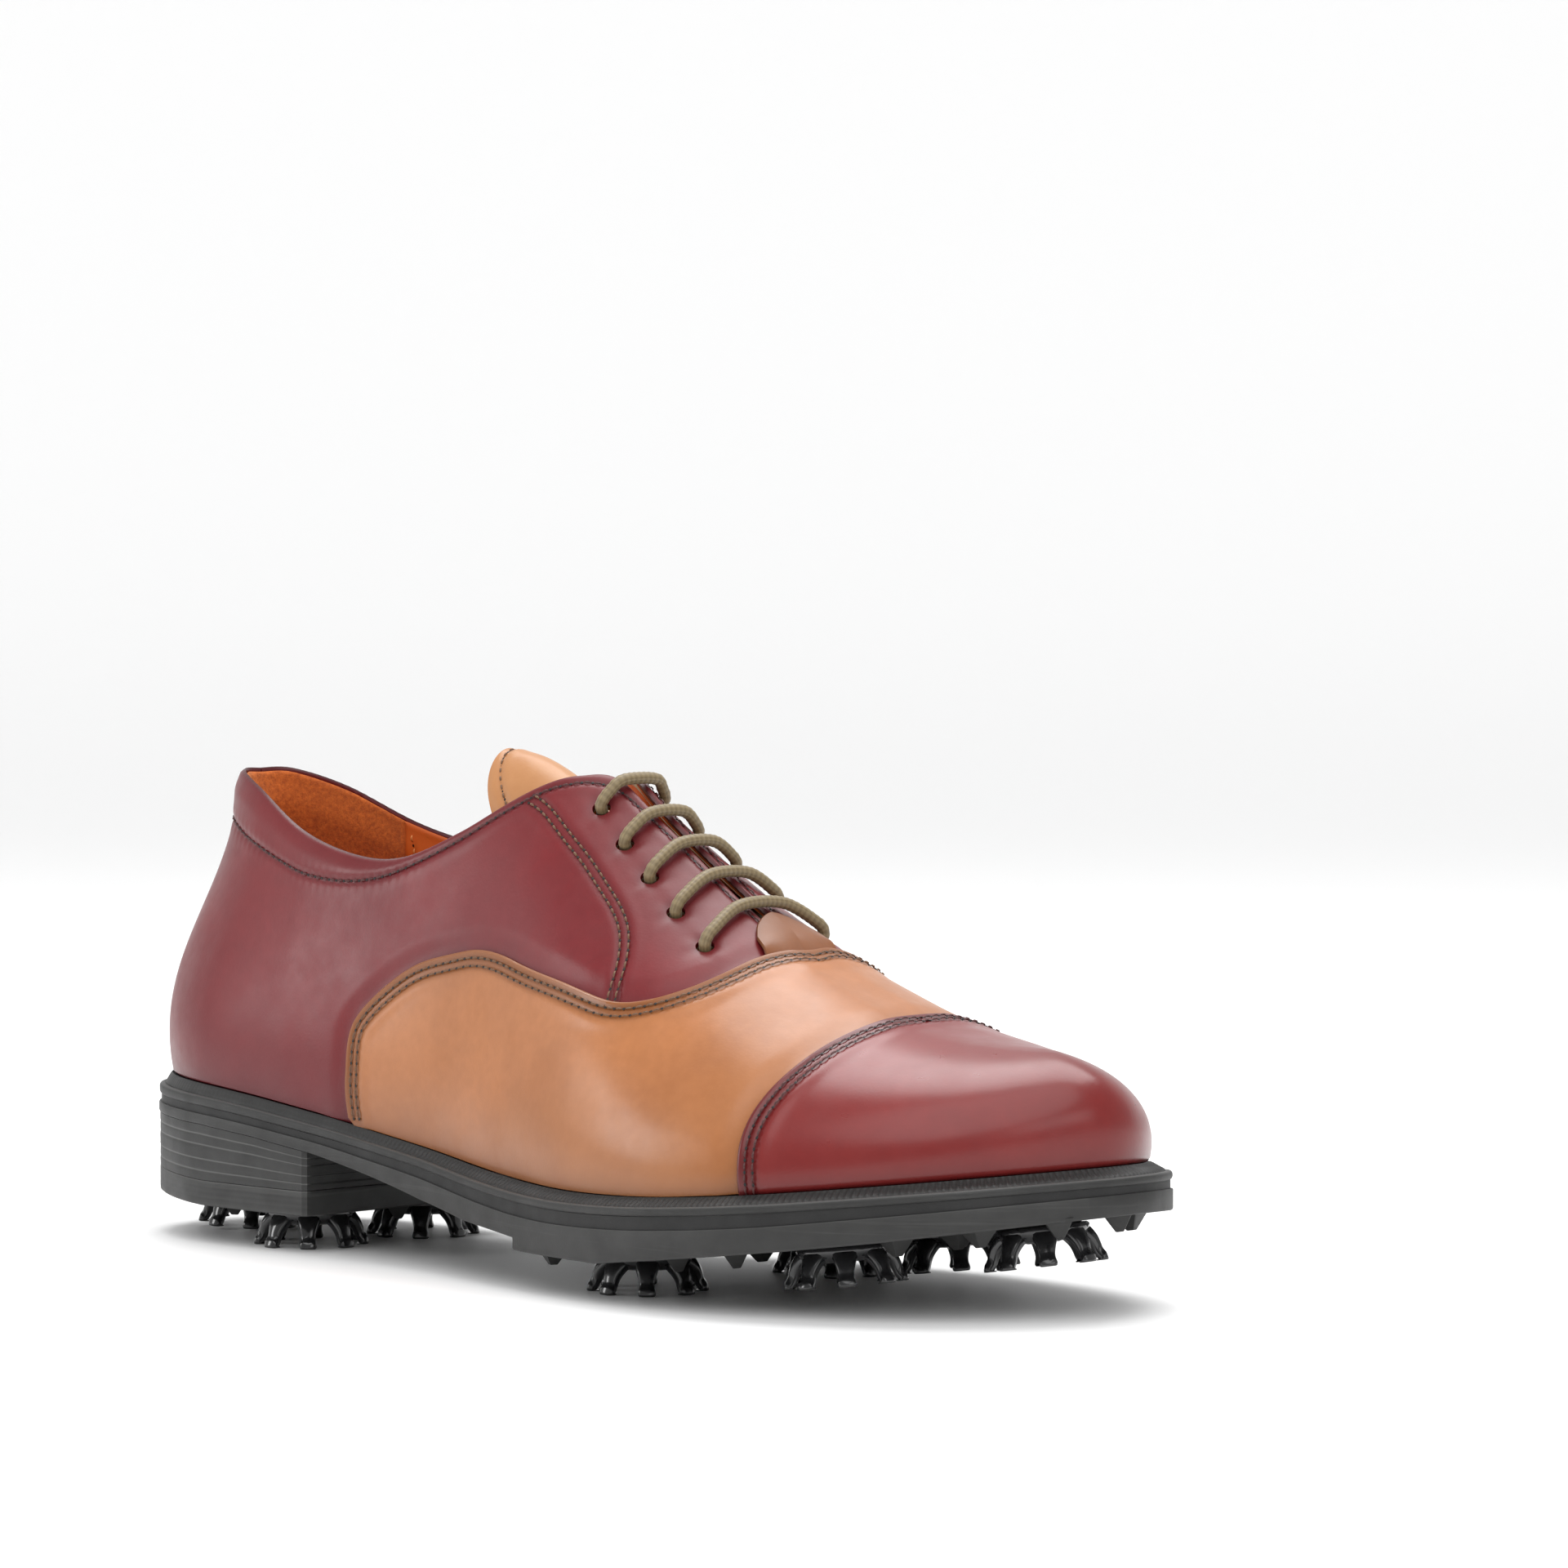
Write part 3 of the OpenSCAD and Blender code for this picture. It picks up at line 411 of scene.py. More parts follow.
def soften_ridge(grid, folded):
    """Evens out what is left of the crease where a sheet's two sides meet on the ridge."""
    cols = grid.shape[1]
    if folded:
        whole = np.concatenate([grid, grid[::-1, ::-1][:, 1:]], axis=1)
        whole[:, cols - 1] = (grid[:, -1] + grid[::-1, -1]) / 2
    else:
        whole = grid.transpose(1, 0, 2)
    steps = np.abs(np.arange(whole.shape[1]) - whole.shape[1] // 2)
    weight = 0.9 * np.clip(1 - steps / SOFTEN_REACH, 0, 1)[None, :, None]
    for _ in range(SOFTEN_ROUNDS):
        beside = (np.roll(whole, 1, 1) + np.roll(whole, -1, 1)) / 2
        whole = whole + (beside - whole) * weight
    return whole[:, :cols] if folded else whole.transpose(1, 0, 2)


def thick_sheet(name, uv, height, thickness, material, folded=False, over_ridge=False, **more):
    """A closed leather sheet on the face: (u, v) places, outer height and thickness."""
    base, normal = on_face(uv)
    height = height + ridge_round(uv)
    outer, inner = base + normal * height[..., None], base + normal * (height - thickness)[..., None]
    if over_ridge:
        outer, inner = soften_ridge(outer, folded), soften_ridge(inner, folded)
    return sheet_from_grids(name, outer, inner, material, folded, **more)


ROUNDED = 0.25          # part of the thickness taken off each side at a sheet's edge
RIM_OUT = 0.22          # part of the thickness the rim stands out
EDGE_BAND = 0.55        # how strongly the edge colour shows on the last row of points


def sheet_from_grids(name, outer, inner, material, folded=False, tone=None, **more):
    """A closed sheet between two grids of points, with a rounded rim. A folded sheet has
    its last column on the ridge, where its first rows meet its last ones."""
    rows, cols = outer.shape[:2]
    outer, inner = outer.copy(), inner.copy()
    if folded:
        outer[:, -1] = (outer[:, -1] + outer[::-1, -1]) / 2
        inner[:, -1] = (inner[:, -1] + inner[::-1, -1]) / 2
    edge = [(0, j) for j in range(cols - 1, 0, -1)] + [(i, 0) for i in range(rows - 1)]
    edge += [(rows - 1, j) for j in range(cols - 1)]
    if folded:
        edge.append((rows - 1, cols - 1))
    else:
        edge += [(i, cols - 1) for i in range(rows - 1, 0, -1)]
    rim, moves = [], []
    for i, j in edge:
        on_ridge = folded and j == cols - 1
        inward = (min(max(i, 1), rows - 2), j if on_ridge else min(max(j, 1), cols - 2))
        out = unit((outer[i, j] + inner[i, j]) - (outer[inward] + inner[inward]))
        gap = inner[i, j] - outer[i, j]
        rim.append((outer[i, j] + inner[i, j]) / 2 + out * np.linalg.norm(gap) * RIM_OUT)
        moves.append((i, j, gap * ROUNDED))
    for i, j, move in moves:
        outer[i, j] += move
        inner[i, j] -= move
    if folded:
        rim[0] = rim[-1] = (rim[0] + rim[-1]) / 2
    count = rows * cols
    points = np.concatenate([outer.reshape(-1, 3), inner.reshape(-1, 3), np.array(rim)])
    faces = grid_faces(rows, cols) + [f[::-1] for f in grid_faces(rows, cols, count)]
    pairs = list(zip(range(len(edge)), range(1, len(edge))))
    if not folded:
        pairs.append((len(edge) - 1, 0))
    at_edge = [i * cols + j for i, j in edge]
    for a, b in pairs:
        ia, ib = at_edge[a], at_edge[b]
        ra, rb = 2 * count + a, 2 * count + b
        faces.append([ia, ib, rb, ra])
        faces.append([ra, rb, ib + count, ia + count])
    values = {}
    if tone is not None:
        tone = np.broadcast_to(np.clip(tone, 0, 1), (rows, cols)).ravel()
        values["tone"] = np.concatenate([tone, tone, tone[at_edge]])
    border = np.zeros(count)
    border[at_edge] = EDGE_BAND
    values["edge"] = np.concatenate([border, border, np.ones(len(edge))])
    return make_object(name, points, faces, material, attributes=values, weld=0.004, **more)


def tube(name, route, radius, sides, material, relief, **more):
    """A cord along a route, with a relief(length, angle) and rounded ends."""
    length = lengths(route)
    tangent = unit(np.gradient(route, axis=0))
    normal = unit(np.cross(tangent[0], [0.3, 0.5, 1.0]))
    angle = np.linspace(0, 2 * math.pi, sides, endpoint=False)
    rings, weave = [], []
    for i in range(len(route)):
        normal = unit(normal - tangent[i] * normal.dot(tangent[i]))
        side = np.cross(tangent[i], normal)
        rise = relief(length[i], angle)
        # weave: height of the braid's relief from 0 to 1, which the lace colour uses to paint shade
        # into the hollows.
        weave.append(0.5 + rise / (2 * max(1e-6, np.abs(rise).max())))
        near_end = min(length[i], length[-1] - length[i])
        taper = math.sqrt(max(0.02, 1 - max(0, 1 - near_end / radius) ** 2))
        r = (radius + rise) * taper
        rings.append(route[i] + np.outer(np.cos(angle) * r, normal) + np.outer(np.sin(angle) * r, side))
    return make_object(name, np.concatenate(rings), tube_faces(len(route), sides), material,
                       attributes={"weave": np.concatenate(weave)}, **more)


def resample(route, pitch):
    length = lengths(route)
    count = max(2, int(round(length[-1] / pitch)) + 1)
    return at_lengths(route, length, np.linspace(0, length[-1], count))


def at_lengths(values, length, at):
    """Rows of three values along a line, taken at given lengths."""
    return np.stack([np.interp(at, length, values[:, c]) for c in range(3)], -1)


def offset_line(uv, sideways, height):
    """3-D line over the face with its normals, moved sideways to the left of its direction."""
    points, normal = skin(uv, height), on_face(uv)[1]
    side = unit(np.cross(normal, np.gradient(points, axis=0)))
    return points + side * sideways, normal


STITCH = 1.75           # length of one stitch
STITCH_LIFT = 0.05      # height of the seam over its line
HOLE_SIDES = 8


def stitches(name, line, normal, material, pitch=2.6, thick=0.5, **more):
    """A row of sewn stitches, each a short thread with a flat dark lens before it, painted shade
    standing in for the needle hole.
    """
    length = lengths(line)
    count = max(1, int(length[-1] // pitch))
    pitch = length[-1] / count
    sides, rings = 6, 5
    points, faces, holes = [], [], []

    def frame_at(at):
        p = at_lengths(line, length, at)
        n = unit(at_lengths(normal, length, at))
        t = unit(at_lengths(line, length, at + 0.2) - at_lengths(line, length, at - 0.2))
        return p, n, t, np.cross(n, t)

    for k in range(count):
        s = np.linspace(-1, 1, rings)
        p, n, t, b = frame_at((k + 0.5) * pitch + s * STITCH / 2)
        rise = STITCH_LIFT + 0.14 - 0.62 * s ** 4 * thick
        r = thick / 2 * np.sqrt(np.maximum(0.12, 1 - 0.85 * s ** 4))
        faces += tube_faces(rings, sides, len(points))
        for i in range(rings):
            for q in range(sides):
                a = 2 * math.pi * q / sides
                points.append(p[i] + n[i] * (rise[i] + math.sin(a) * r[i] * 0.8)
                              + b[i] * math.cos(a) * r[i])
        holes += [0.0] * (rings * sides)
        # Needle hole: a flat dark lens lying in the surface, painted shade where the hole would be.
        p, n, t, b = (values[0] for values in frame_at(np.array([k * pitch])))
        base = len(points)
        points.append(p + n * (STITCH_LIFT + 0.03))
        for q in range(HOLE_SIDES):
            a = 2 * math.pi * q / HOLE_SIDES
            points.append(p + t * math.cos(a) * 0.42 + b * math.sin(a) * 0.34 - n * 0.02)
            here, beside = base + 1 + q, base + 1 + (q + 1) % HOLE_SIDES
            faces.append([base, here, beside])
            faces.append([base + HOLE_SIDES + 1, beside, here])
        points.append(p - n * 0.35)
        holes += [1.0] * (HOLE_SIDES + 2)
    return make_object(name, np.array(points), faces, material, sharp=60,
                       attributes={"hole": holes}, **more)


# ---- materials --------------------------------------------------------------------


class Nodes:
    """Short way to write a node tree for one material."""

    def __init__(self, name):
        self.material = bpy.data.materials.new(name)
        self.material.use_nodes = True
        self.tree = self.material.node_tree
        self.shader = self.tree.nodes["Principled BSDF"]
        self.coords = self.tree.nodes.new("ShaderNodeTexCoord").outputs["Object"]

    def node(self, kind, inputs=None, **settings):
        n = self.tree.nodes.new(kind)
        for key, value in settings.items():
            setattr(n, key, value)
        for key, value in (inputs or {}).items():
            self.put(n.inputs[key], value)
        return n

    def put(self, socket, value):
        if isinstance(value, bpy.types.NodeSocket):
            self.tree.links.new(value, socket)
        elif hasattr(socket.default_value, "__len__"):
            short = len(value) == 3 and len(socket.default_value) == 4
            socket.default_value = (*value, 1.0) if short else value
        else:
            socket.default_value = value

    def noise(self, scale, detail=3.0, rough=0.55, stretch=None):
        source = self.coords
        if stretch:
            source = self.node("ShaderNodeMapping", {"Vector": source, "Scale": stretch}).outputs[0]
        return self.node("ShaderNodeTexNoise", {"Vector": source, "Scale": scale, "Detail": detail,
                                                "Roughness": rough}).outputs["Fac"]

    def cells(self, scale):
        return self.node("ShaderNodeTexVoronoi",
                         {"Vector": self.coords, "Scale": scale}).outputs["Distance"]

    def remap(self, value, low, high, to_low=0.0, to_high=1.0):
        return self.node("ShaderNodeMapRange",
                         {0: value, 1: low, 2: high, 3: to_low, 4: to_high}).outputs[0]

    def times(self, a, b):
        return self.node("ShaderNodeMath", {0: a, 1: b}, operation="MULTIPLY").outputs[0]

    def mix(self, factor, a, b):
        """Colour between a and b; sockets 6 and 7 and output 2 are the node's colour ones."""
        n = self.node("ShaderNodeMix", data_type="RGBA")
        self.put(n.inputs["Factor"], factor)
        self.put(n.inputs[6], a)
        self.put(n.inputs[7], b)
        return n.outputs[2]

    def attribute(self, name):
        return self.node("ShaderNodeAttribute", attribute_name=name).outputs["Fac"]

    def bump(self, height, strength, size, normal=None):
        n = self.node("ShaderNodeBump", {"Height": height, "Strength": strength, "Distance": size * MM})
        if normal is not None:
            self.put(n.inputs["Normal"], normal)
        return n.outputs[0]

    def set(self, **sockets):
        for key, value in sockets.items():
            self.put(self.shader.inputs[key.replace("_", " ")], value)
        return self.material


def leather(name, base, deep, edge, worn, rough=(0.34, 0.46), grain=0.10, coat=0.10):
    """Smooth calf: pores, faint creases, cloudy dye, burnished and worn edges."""
    m = Nodes(name)
    cloud = m.remap(m.noise(26, 4), 0.35, 0.68)
    fine = m.remap(m.noise(420, 3), 0.3, 0.7)
    colour = m.mix(m.times(cloud, 0.45), base, deep)
    colour = m.mix(m.times(fine, 0.14), colour, deep)
    # tone darkens towards the deep colour; part of it is painted shade, towards the sole and round the
    # lace holes, and the rest is darker bands at edges, seams and stitching.
    colour = m.mix(m.attribute("tone"), colour, deep)
    rub = m.times(m.remap(m.noise(22, 2, 0.4), 0.5, 0.8), 0.16)
    colour = m.mix(rub, colour, worn)
    colour = m.mix(m.attribute("edge"), colour, edge)
    pores = m.cells(1500)
    creases = m.noise(900, 5, 0.6)
    normal = m.bump(pores, grain, 0.10)
    normal = m.bump(creases, grain * 1.4, 0.10, normal)
    normal = m.bump(m.noise(70, 3), grain * 0.8, 0.5, normal)
    MATERIALS[name] = m.set(Base_Color=colour, Normal=normal,
                            Roughness=m.remap(m.noise(140, 4), 0.3, 0.7, rough[0], rough[1]),
                            Coat_Weight=coat, Coat_Roughness=0.22, IOR=1.41)


def suede(name, base, deep):
    m = Nodes(name)
    nap = m.noise(900, 6, 0.75)
    patches = m.remap(m.noise(45, 4, 0.6), 0.35, 0.65)
    colour = m.mix(m.remap(nap, 0.35, 0.65), deep, base)
    colour = m.mix(m.times(patches, 0.35), colour, deep)
    normal = m.bump(nap, 0.6, 0.35)
    normal = m.bump(m.noise(2600, 3), 0.4, 0.2, normal)
    MATERIALS[name] = m.set(Base_Color=colour, Normal=normal, Roughness=0.95,
                            Sheen_Weight=0.35, Sheen_Roughness=0.5, Sheen_Tint=(1.0, 0.62, 0.30))


def rubber(name, base, light, rough):
    """Moulded rubber with a fine matt texture, scuffs, and pale lines along its edges that are painted
    highlight.
    """
    m = Nodes(name)
    colour = m.mix(m.remap(m.noise(190, 5), 0.35, 0.7), base, [c * 1.35 for c in base])
    scuff = m.times(m.remap(m.noise(60, 6, 0.7, stretch=(0.3, 0.3, 14.0)), 0.56, 0.78), 0.34)
    colour = m.mix(scuff, colour, light)
    # Painted highlight: where the line attribute is set, the rubber is painted paler along its edges.
    colour = m.mix(m.attribute("line"), colour, light)
    normal = m.bump(m.noise(1800, 3), 0.22, 0.12)
    normal = m.bump(m.noise(230, 4), 0.11, 0.2, normal)
    MATERIALS[name] = m.set(Base_Color=colour, Normal=normal,
                            Roughness=m.remap(m.noise(110, 4), 0.3, 0.7, rough[0], rough[1]), IOR=1.52)


def thread(name, base, light):
    """Sewing thread, with the needle-hole lenses painted nearly black, painted shade of the holes."""
    m = Nodes(name)
    strands = m.noise(2500, 4, 0.6)
    colour = m.mix(m.remap(strands, 0.3, 0.7), base, light)
    # Painted shade: the hole lenses take a tenth of the thread colour.
    colour = m.mix(m.attribute("hole"), colour, [c * 0.10 for c in base])
    MATERIALS[name] = m.set(Base_Color=colour, Normal=m.bump(strands, 0.3, 0.05),
                            Roughness=m.remap(m.noise(900, 3), 0.3, 0.7, 0.5, 0.65))


def cord(name, base, light):
    """Waxed round braid: the strands stand out from the hollows between them, which are painted darker,
    painted shade.
    """
    m = Nodes(name)
    fibres = m.noise(2200, 5, 0.7)
    # Painted shade: weave follows the braid's relief, so the hollows are painted dark and the strands
    # light.
    colour = m.mix(m.attribute("weave"), base, light)
    colour = m.mix(m.times(m.remap(fibres, 0.4, 0.7), 0.35), colour, base)
    MATERIALS[name] = m.set(Base_Color=colour, Normal=m.bump(fibres, 0.5, 0.08),
                            Roughness=m.remap(m.noise(300, 3), 0.3, 0.7, 0.42, 0.58),
                            Sheen_Weight=0.12, Sheen_Roughness=0.4)


def plain(name, base, other, scale, rough, bump_size=0.1, metallic=0.0, stretch=None,
          strength=0.3, coat=0.0):
    """One noise pattern between two colours."""
    m = Nodes(name)
    pattern = m.noise(scale, 5, 0.65, stretch=stretch)
    MATERIALS[name] = m.set(
        Base_Color=m.mix(m.remap(pattern, 0.3, 0.7), base, other),
        Normal=m.bump(pattern, strength, bump_size), Metallic=metallic, Coat_Weight=coat,
        Roughness=m.remap(m.noise(scale * 0.4, 3), 0.3, 0.7, rough * 0.85, rough * 1.15))


leather("burgundy_leather", (0.180, 0.014, 0.017), (0.085, 0.006, 0.009), (0.050, 0.007, 0.009),
        (0.27, 0.05, 0.05))
leather("cap_leather", (0.205, 0.014, 0.012), (0.105, 0.006, 0.007), (0.055, 0.007, 0.008),
        (0.30, 0.05, 0.04), rough=(0.27, 0.36), grain=0.07, coat=0.25)
leather("tan_leather", (0.46, 0.175, 0.062), (0.215, 0.068, 0.016), (0.30, 0.125, 0.05),
        (0.64, 0.31, 0.13), rough=(0.30, 0.42), coat=0.25)
leather("tongue_leather", (0.50, 0.245, 0.105), (0.36, 0.14, 0.045), (0.30, 0.14, 0.055),
        (0.64, 0.36, 0.18))
leather("brown_leather", (0.25, 0.090, 0.032), (0.13, 0.040, 0.014), (0.14, 0.045, 0.017),
        (0.42, 0.19, 0.08))
leather("lining_leather", (0.66, 0.135, 0.016), (0.46, 0.075, 0.008), (0.50, 0.095, 0.012),
        (0.70, 0.18, 0.03), rough=(0.5, 0.62), coat=0.0)
suede("lining_suede", (0.66, 0.155, 0.020), (0.34, 0.062, 0.007))
suede("collar_foam", (0.62, 0.50, 0.32), (0.46, 0.35, 0.20))
rubber("sole_rubber", (0.0135, 0.0135, 0.0130), (0.080, 0.080, 0.077), rough=(0.5, 0.66))
# Darker rubber for the recessed band between the welt's lip and the outsole: painted shade in the
# groove.
rubber("groove_rubber", (0.007, 0.007, 0.007), (0.02, 0.02, 0.02), rough=(0.6, 0.75))
plain("cleat_plastic", (0.008, 0.008, 0.009), (0.016, 0.016, 0.017), 160, 0.2, 0.06,
      strength=0.15, coat=0.5)
plain("receptacle_plastic", (0.03, 0.03, 0.032), (0.045, 0.045, 0.048), 300, 0.45)
plain("spring_steel", (0.45, 0.46, 0.48), (0.6, 0.61, 0.63), 260, 0.32, metallic=1.0,
      stretch=(0.1, 1, 1))
plain("cork", (0.42, 0.25, 0.12), (0.24, 0.12, 0.05), 380, 0.85, 0.4, strength=0.6)
plain("insole_fibre", (0.46, 0.32, 0.18), (0.38, 0.25, 0.13), 700, 0.9, 0.15)
plain("stiffener_board", (0.50, 0.38, 0.24), (0.40, 0.29, 0.17), 500, 0.9, 0.15)
plain("aglet_plastic", (0.20, 0.14, 0.08), (0.28, 0.21, 0.13), 240, 0.25, 0.05, coat=0.4)
thread("thread_brown", (0.115, 0.052, 0.022), (0.17, 0.085, 0.04))
thread("thread_burgundy", (0.050, 0.012, 0.012), (0.085, 0.022, 0.020))
thread("thread_orange", (0.50, 0.15, 0.025), (0.62, 0.22, 0.05))
cord("lace_cord", (0.140, 0.098, 0.046), (0.285, 0.220, 0.115))

# ---- upper ------------------------------------------------------------------------


def ruled(low, top, steps, cols, ends=0.6):
    """Grid of places between two paired lists of points."""
    last = len(low) - 1
    t = np.linspace(0, 1, last * steps + 1) * last
    a, b = along(low, t)[:, None, :], along(top, t)[:, None, :]
    s = eased(cols, ends)[None, :, None]
    return a + (b - a) * s


def toe_grid(t, v, outer, inner):
    """Grid of places round the toe: t from -1 at the outer seam to 1 at the inner seam."""
    reach = TOE - np.where(t[:, None] < 0, outer, inner)
    return np.stack([TOE + t[:, None] * reach, np.broadcast_to(v, reach.shape)], -1)


def grooves(points, lines, depth=0.26, width=0.75):
    """Sunk seam along stitched lines, with the leather a little proud beside it."""
    change = np.zeros(points.shape[:-1])
    near = np.full(points.shape[:-1], 99.0)
    for line in lines:
        d = distance(points, line)
        near = np.minimum(near, d)
        change -= depth * np.exp(-(d / width) ** 2)
    return change + 0.10 * np.exp(-((near - 2.0) / 1.3) ** 2), near


edge_vamp_uv = vamp_edge()
edge_vamp = skin(edge_vamp_uv)
seam_cap_uv = cap_seam()
seam_cap = skin(seam_cap_uv)
LAP = 0.45          # how far an overlapping piece lifts at its edge
SKIVED = 1.05       # thickness of a skived edge
LEATHER = 1.4

# Stitch rows: the inside of the vamp and of the cap is to the right of their edge lines.
vamp_rows = [offset_line(edge_vamp_uv, s, LAP) for s in (-1.8, -3.7)]
cap_rows = [offset_line(seam_cap_uv, s, LAP) for s in (-1.9, -3.9)]


def above_welt(points):
    return points[..., 2] - feather(points[..., 0])


def lapped(to_edge):
    """Height of an overlapping piece, which lifts towards its edge."""
    return LAP * (1 - ramp(to_edge / 9))


def skived(to_edge):
    """Thickness of leather that is skived towards its edge."""
    return SKIVED + (LEATHER - SKIVED) * ramp(to_edge / 6)


def tucked(depth, reach):
    """Height of leather that goes under its neighbour, depth past the neighbour's edge."""
    return -(SKIVED - LAP + 0.12) * ramp((depth + (reach + 0.5)) / reach)


def stitch_rows(name, rows, material, slot):
    for k, (line, normal) in enumerate(rows, 1):
        stitches(f"{name}_{k}", line, normal, material, slot=slot)


def make_cap():
    v = np.linspace(0, 1, 60)
    uv = toe_grid(2 * eased(150, 0.55) - 1, v, cap_seam_u(v, -1), cap_seam_u(v, 1))
    base, normal = on_face(uv)
    d = distance(base, seam_cap)
    change, near = grooves(base + normal * LAP, [row[0] for row in cap_rows])
    # Painted shade: the first term darkens the cap towards the sole.
    tone = (0.45 * np.exp(-above_welt(base) / 6) + 0.75 * np.exp(-(d / 4.4) ** 4)
            + 0.30 * np.exp(-(near / 0.9) ** 2))
    thick_sheet("toe_cap_leather", uv, lapped(d) + change, skived(d), "cap_leather", folded=True,
                over_ridge=True, tone=tone, slot="burgundy_leather", node="toe_cap")
    stitch_rows("toe_cap_stitching", cap_rows, "thread_burgundy", "burgundy_leather")


def make_vamp():
    steps, cols = 17, 64
    uv = across(ruled(VAMP_FRONT_OUTER, VAMP_BACK, steps, cols),
                mirrored(ruled(VAMP_FRONT_INNER, VAMP_BACK, steps, cols)))
    base, normal = on_face(uv)
    to_edge, to_cap = distance(base, edge_vamp), distance(base, seam_cap)
    u, v = uv[..., 0], uv[..., 1]
    past_seam = np.where(u <= TOE, u - cap_seam_u(v, -1), COUNT - cap_seam_u(v, 1) - u)
    under_cap = tucked(np.where(past_seam > 0, to_cap, -to_cap), 7)
    change, near = grooves(base + normal * LAP, [row[0] for row in vamp_rows])
    # The foot's flex leaves two very faint rolls across the vamp.
    flex = (np.exp(-((base[..., 0] - 205) / 9) ** 2)
            - 0.6 * np.exp(-((base[..., 0] - 220) / 8) ** 2))
    rolls = 0.16 * flex * ramp((above_welt(base) - 12) / 14) * ramp(to_edge / 10)
    height = lapped(to_edge) + change + under_cap - rolls
    # Painted shade: the first term darkens the vamp towards the sole.
    tone = (0.80 * np.exp(-above_welt(base) / 9) + 0.72 * np.exp(-(to_edge / 4.1) ** 4)
            + 0.45 * np.exp(-to_cap / 5) + 0.30 * np.exp(-(near / 0.9) ** 2))
    thick_sheet("vamp_leather", uv, height, skived(np.minimum(to_edge, to_cap)), "tan_leather",
                over_ridge=True, tone=tone, node="vamp")
    stitch_rows("vamp_stitching", vamp_rows, "thread_brown", "tan_leather")


HOLE_RADIUS = 2.15


def punch(obj, side):
    """Cuts the five lace holes of one side through a sheet."""
    cutter = bmesh.new()
    for uv in EYELETS:
        p = on_side([uv], side)
        turn = Vector(on_face(p)[1][0]).to_track_quat("Z", "Y").to_matrix().to_4x4()
        bmesh.ops.create_cone(cutter, cap_ends=True, segments=28, radius1=HOLE_RADIUS * MM,
                              radius2=HOLE_RADIUS * MM, depth=14 * MM,
                              matrix=Matrix.Translation(Vector(place(skin(p)[0]))) @ turn)
    mesh = bpy.data.meshes.new("punch")
    cutter.to_mesh(mesh)
    cutter.free()
    tool = add_object("punch", mesh)
    cut = obj.modifiers.new("punch", "BOOLEAN")
    cut.operation = "DIFFERENCE"
    cut.solver = "MANIFOLD"
    cut.object = tool
    bpy.context.view_layer.update()
    evaluated = obj.evaluated_get(bpy.context.evaluated_depsgraph_get())
    result = bpy.data.meshes.new_from_object(evaluated)
    obj.modifiers.clear()
    obj.data = result
    finish_mesh(result, 40)
    bpy.data.objects.remove(tool)


def make_quarter(side):
    name = "outer" if side < 0 else "inner"
    uv = on_side(ruled(QUARTER_LOW, QUARTER_TOP, 24, 92, ends=0.45), side)
    u, v = uv[..., 0], uv[..., 1]
    base = face_point(u, v)
    collar, collar_normal = offset_line(on_side(curve_uv(COLLAR_STITCH, 900), side), 0, 0.0)
    stay_uv = on_side(curve_uv(STAY_STITCH, 400), side)
    stay = [offset_line(stay_uv, s, 0.0) for s in (-1.05, 1.05)]
    to_top = distance(base, skin(on_side(curve_uv(QUARTER_TOP, 900), side)))
    to_collar, to_vamp = distance(base, collar), distance(base, edge_vamp)
    change, near = grooves(base, [collar, stay[0][0], stay[1][0]])
    half_u = np.minimum(u, COUNT - u)
    behind = ramp((5.2 - half_u) / 1.2)
    padded = behind * (v > line_at(COLLAR_STITCH, half_u))
    cushion = 0.95 * (1 - np.exp(-to_collar / 3.0)) * ramp(to_top / 5) * padded
    turned = -0.55 * np.exp(-to_top / 0.9)
    # Small gathers where the collar stitching pulls the leather over its padding.
    gather = 0.07 * np.sin(base[..., 0] * 2.3) * np.exp(-(to_collar / 2.4) ** 2) * behind
    half_edge = edge_vamp_uv[:HALF_EDGE - 1]
    half_edge = half_edge[np.argsort(half_edge[:, 0])]
    hidden = (half_u > VAMP_BACK[0][0]) & (v < line_at(half_edge, half_u))
    under = tucked(np.where(hidden, to_vamp, -to_vamp), 6)
    pucker, hole_ring_shade = np.zeros_like(u), np.zeros_like(u)
    for hole in EYELETS:
        offset = base - skin(on_side([hole], side))[0]
        r = np.linalg.norm(offset, axis=-1)
        angle = np.arctan2(offset[..., 1], offset[..., 0])
        pucker += -0.42 * np.exp(-np.maximum(r - 2.0, 0) / 1.5)
        pucker += 0.07 * np.sin(5 * angle + 1.3) * np.exp(-((r - 3.6) / 2.2) ** 2)
        # Painted shade: a dark ring painted round each lace hole.
        hole_ring_shade += 0.7 * np.exp(-np.maximum(r - 2.1, 0) / 1.1)
    height = change + cushion + turned + gather + under + pucker
    # Painted shade: the first term darkens the quarter towards the sole, and the ring term round the
    # lace holes is painted shade too.
    tone = (0.75 * np.exp(-above_welt(base) / 8) + 0.5 * np.exp(-to_top / 2.2)
            + 0.35 * np.exp(-(near / 0.8) ** 2) + hole_ring_shade + 0.25 * ramp((2.2 - half_u) / 2.2)
            + 0.3 * np.exp(-to_vamp / 2.0))
    obj = thick_sheet(f"quarter_{name}_leather", uv, height, LEATHER, "burgundy_leather", tone=tone,
                      node=f"quarter_{name}")
    punch(obj, side)
    stitches(f"collar_stitching_{name}", collar, collar_normal, "thread_burgundy",
             slot="burgundy_leather")
    stitch_rows(f"facing_stitching_{name}", stay, "thread_brown", "burgundy_leather")


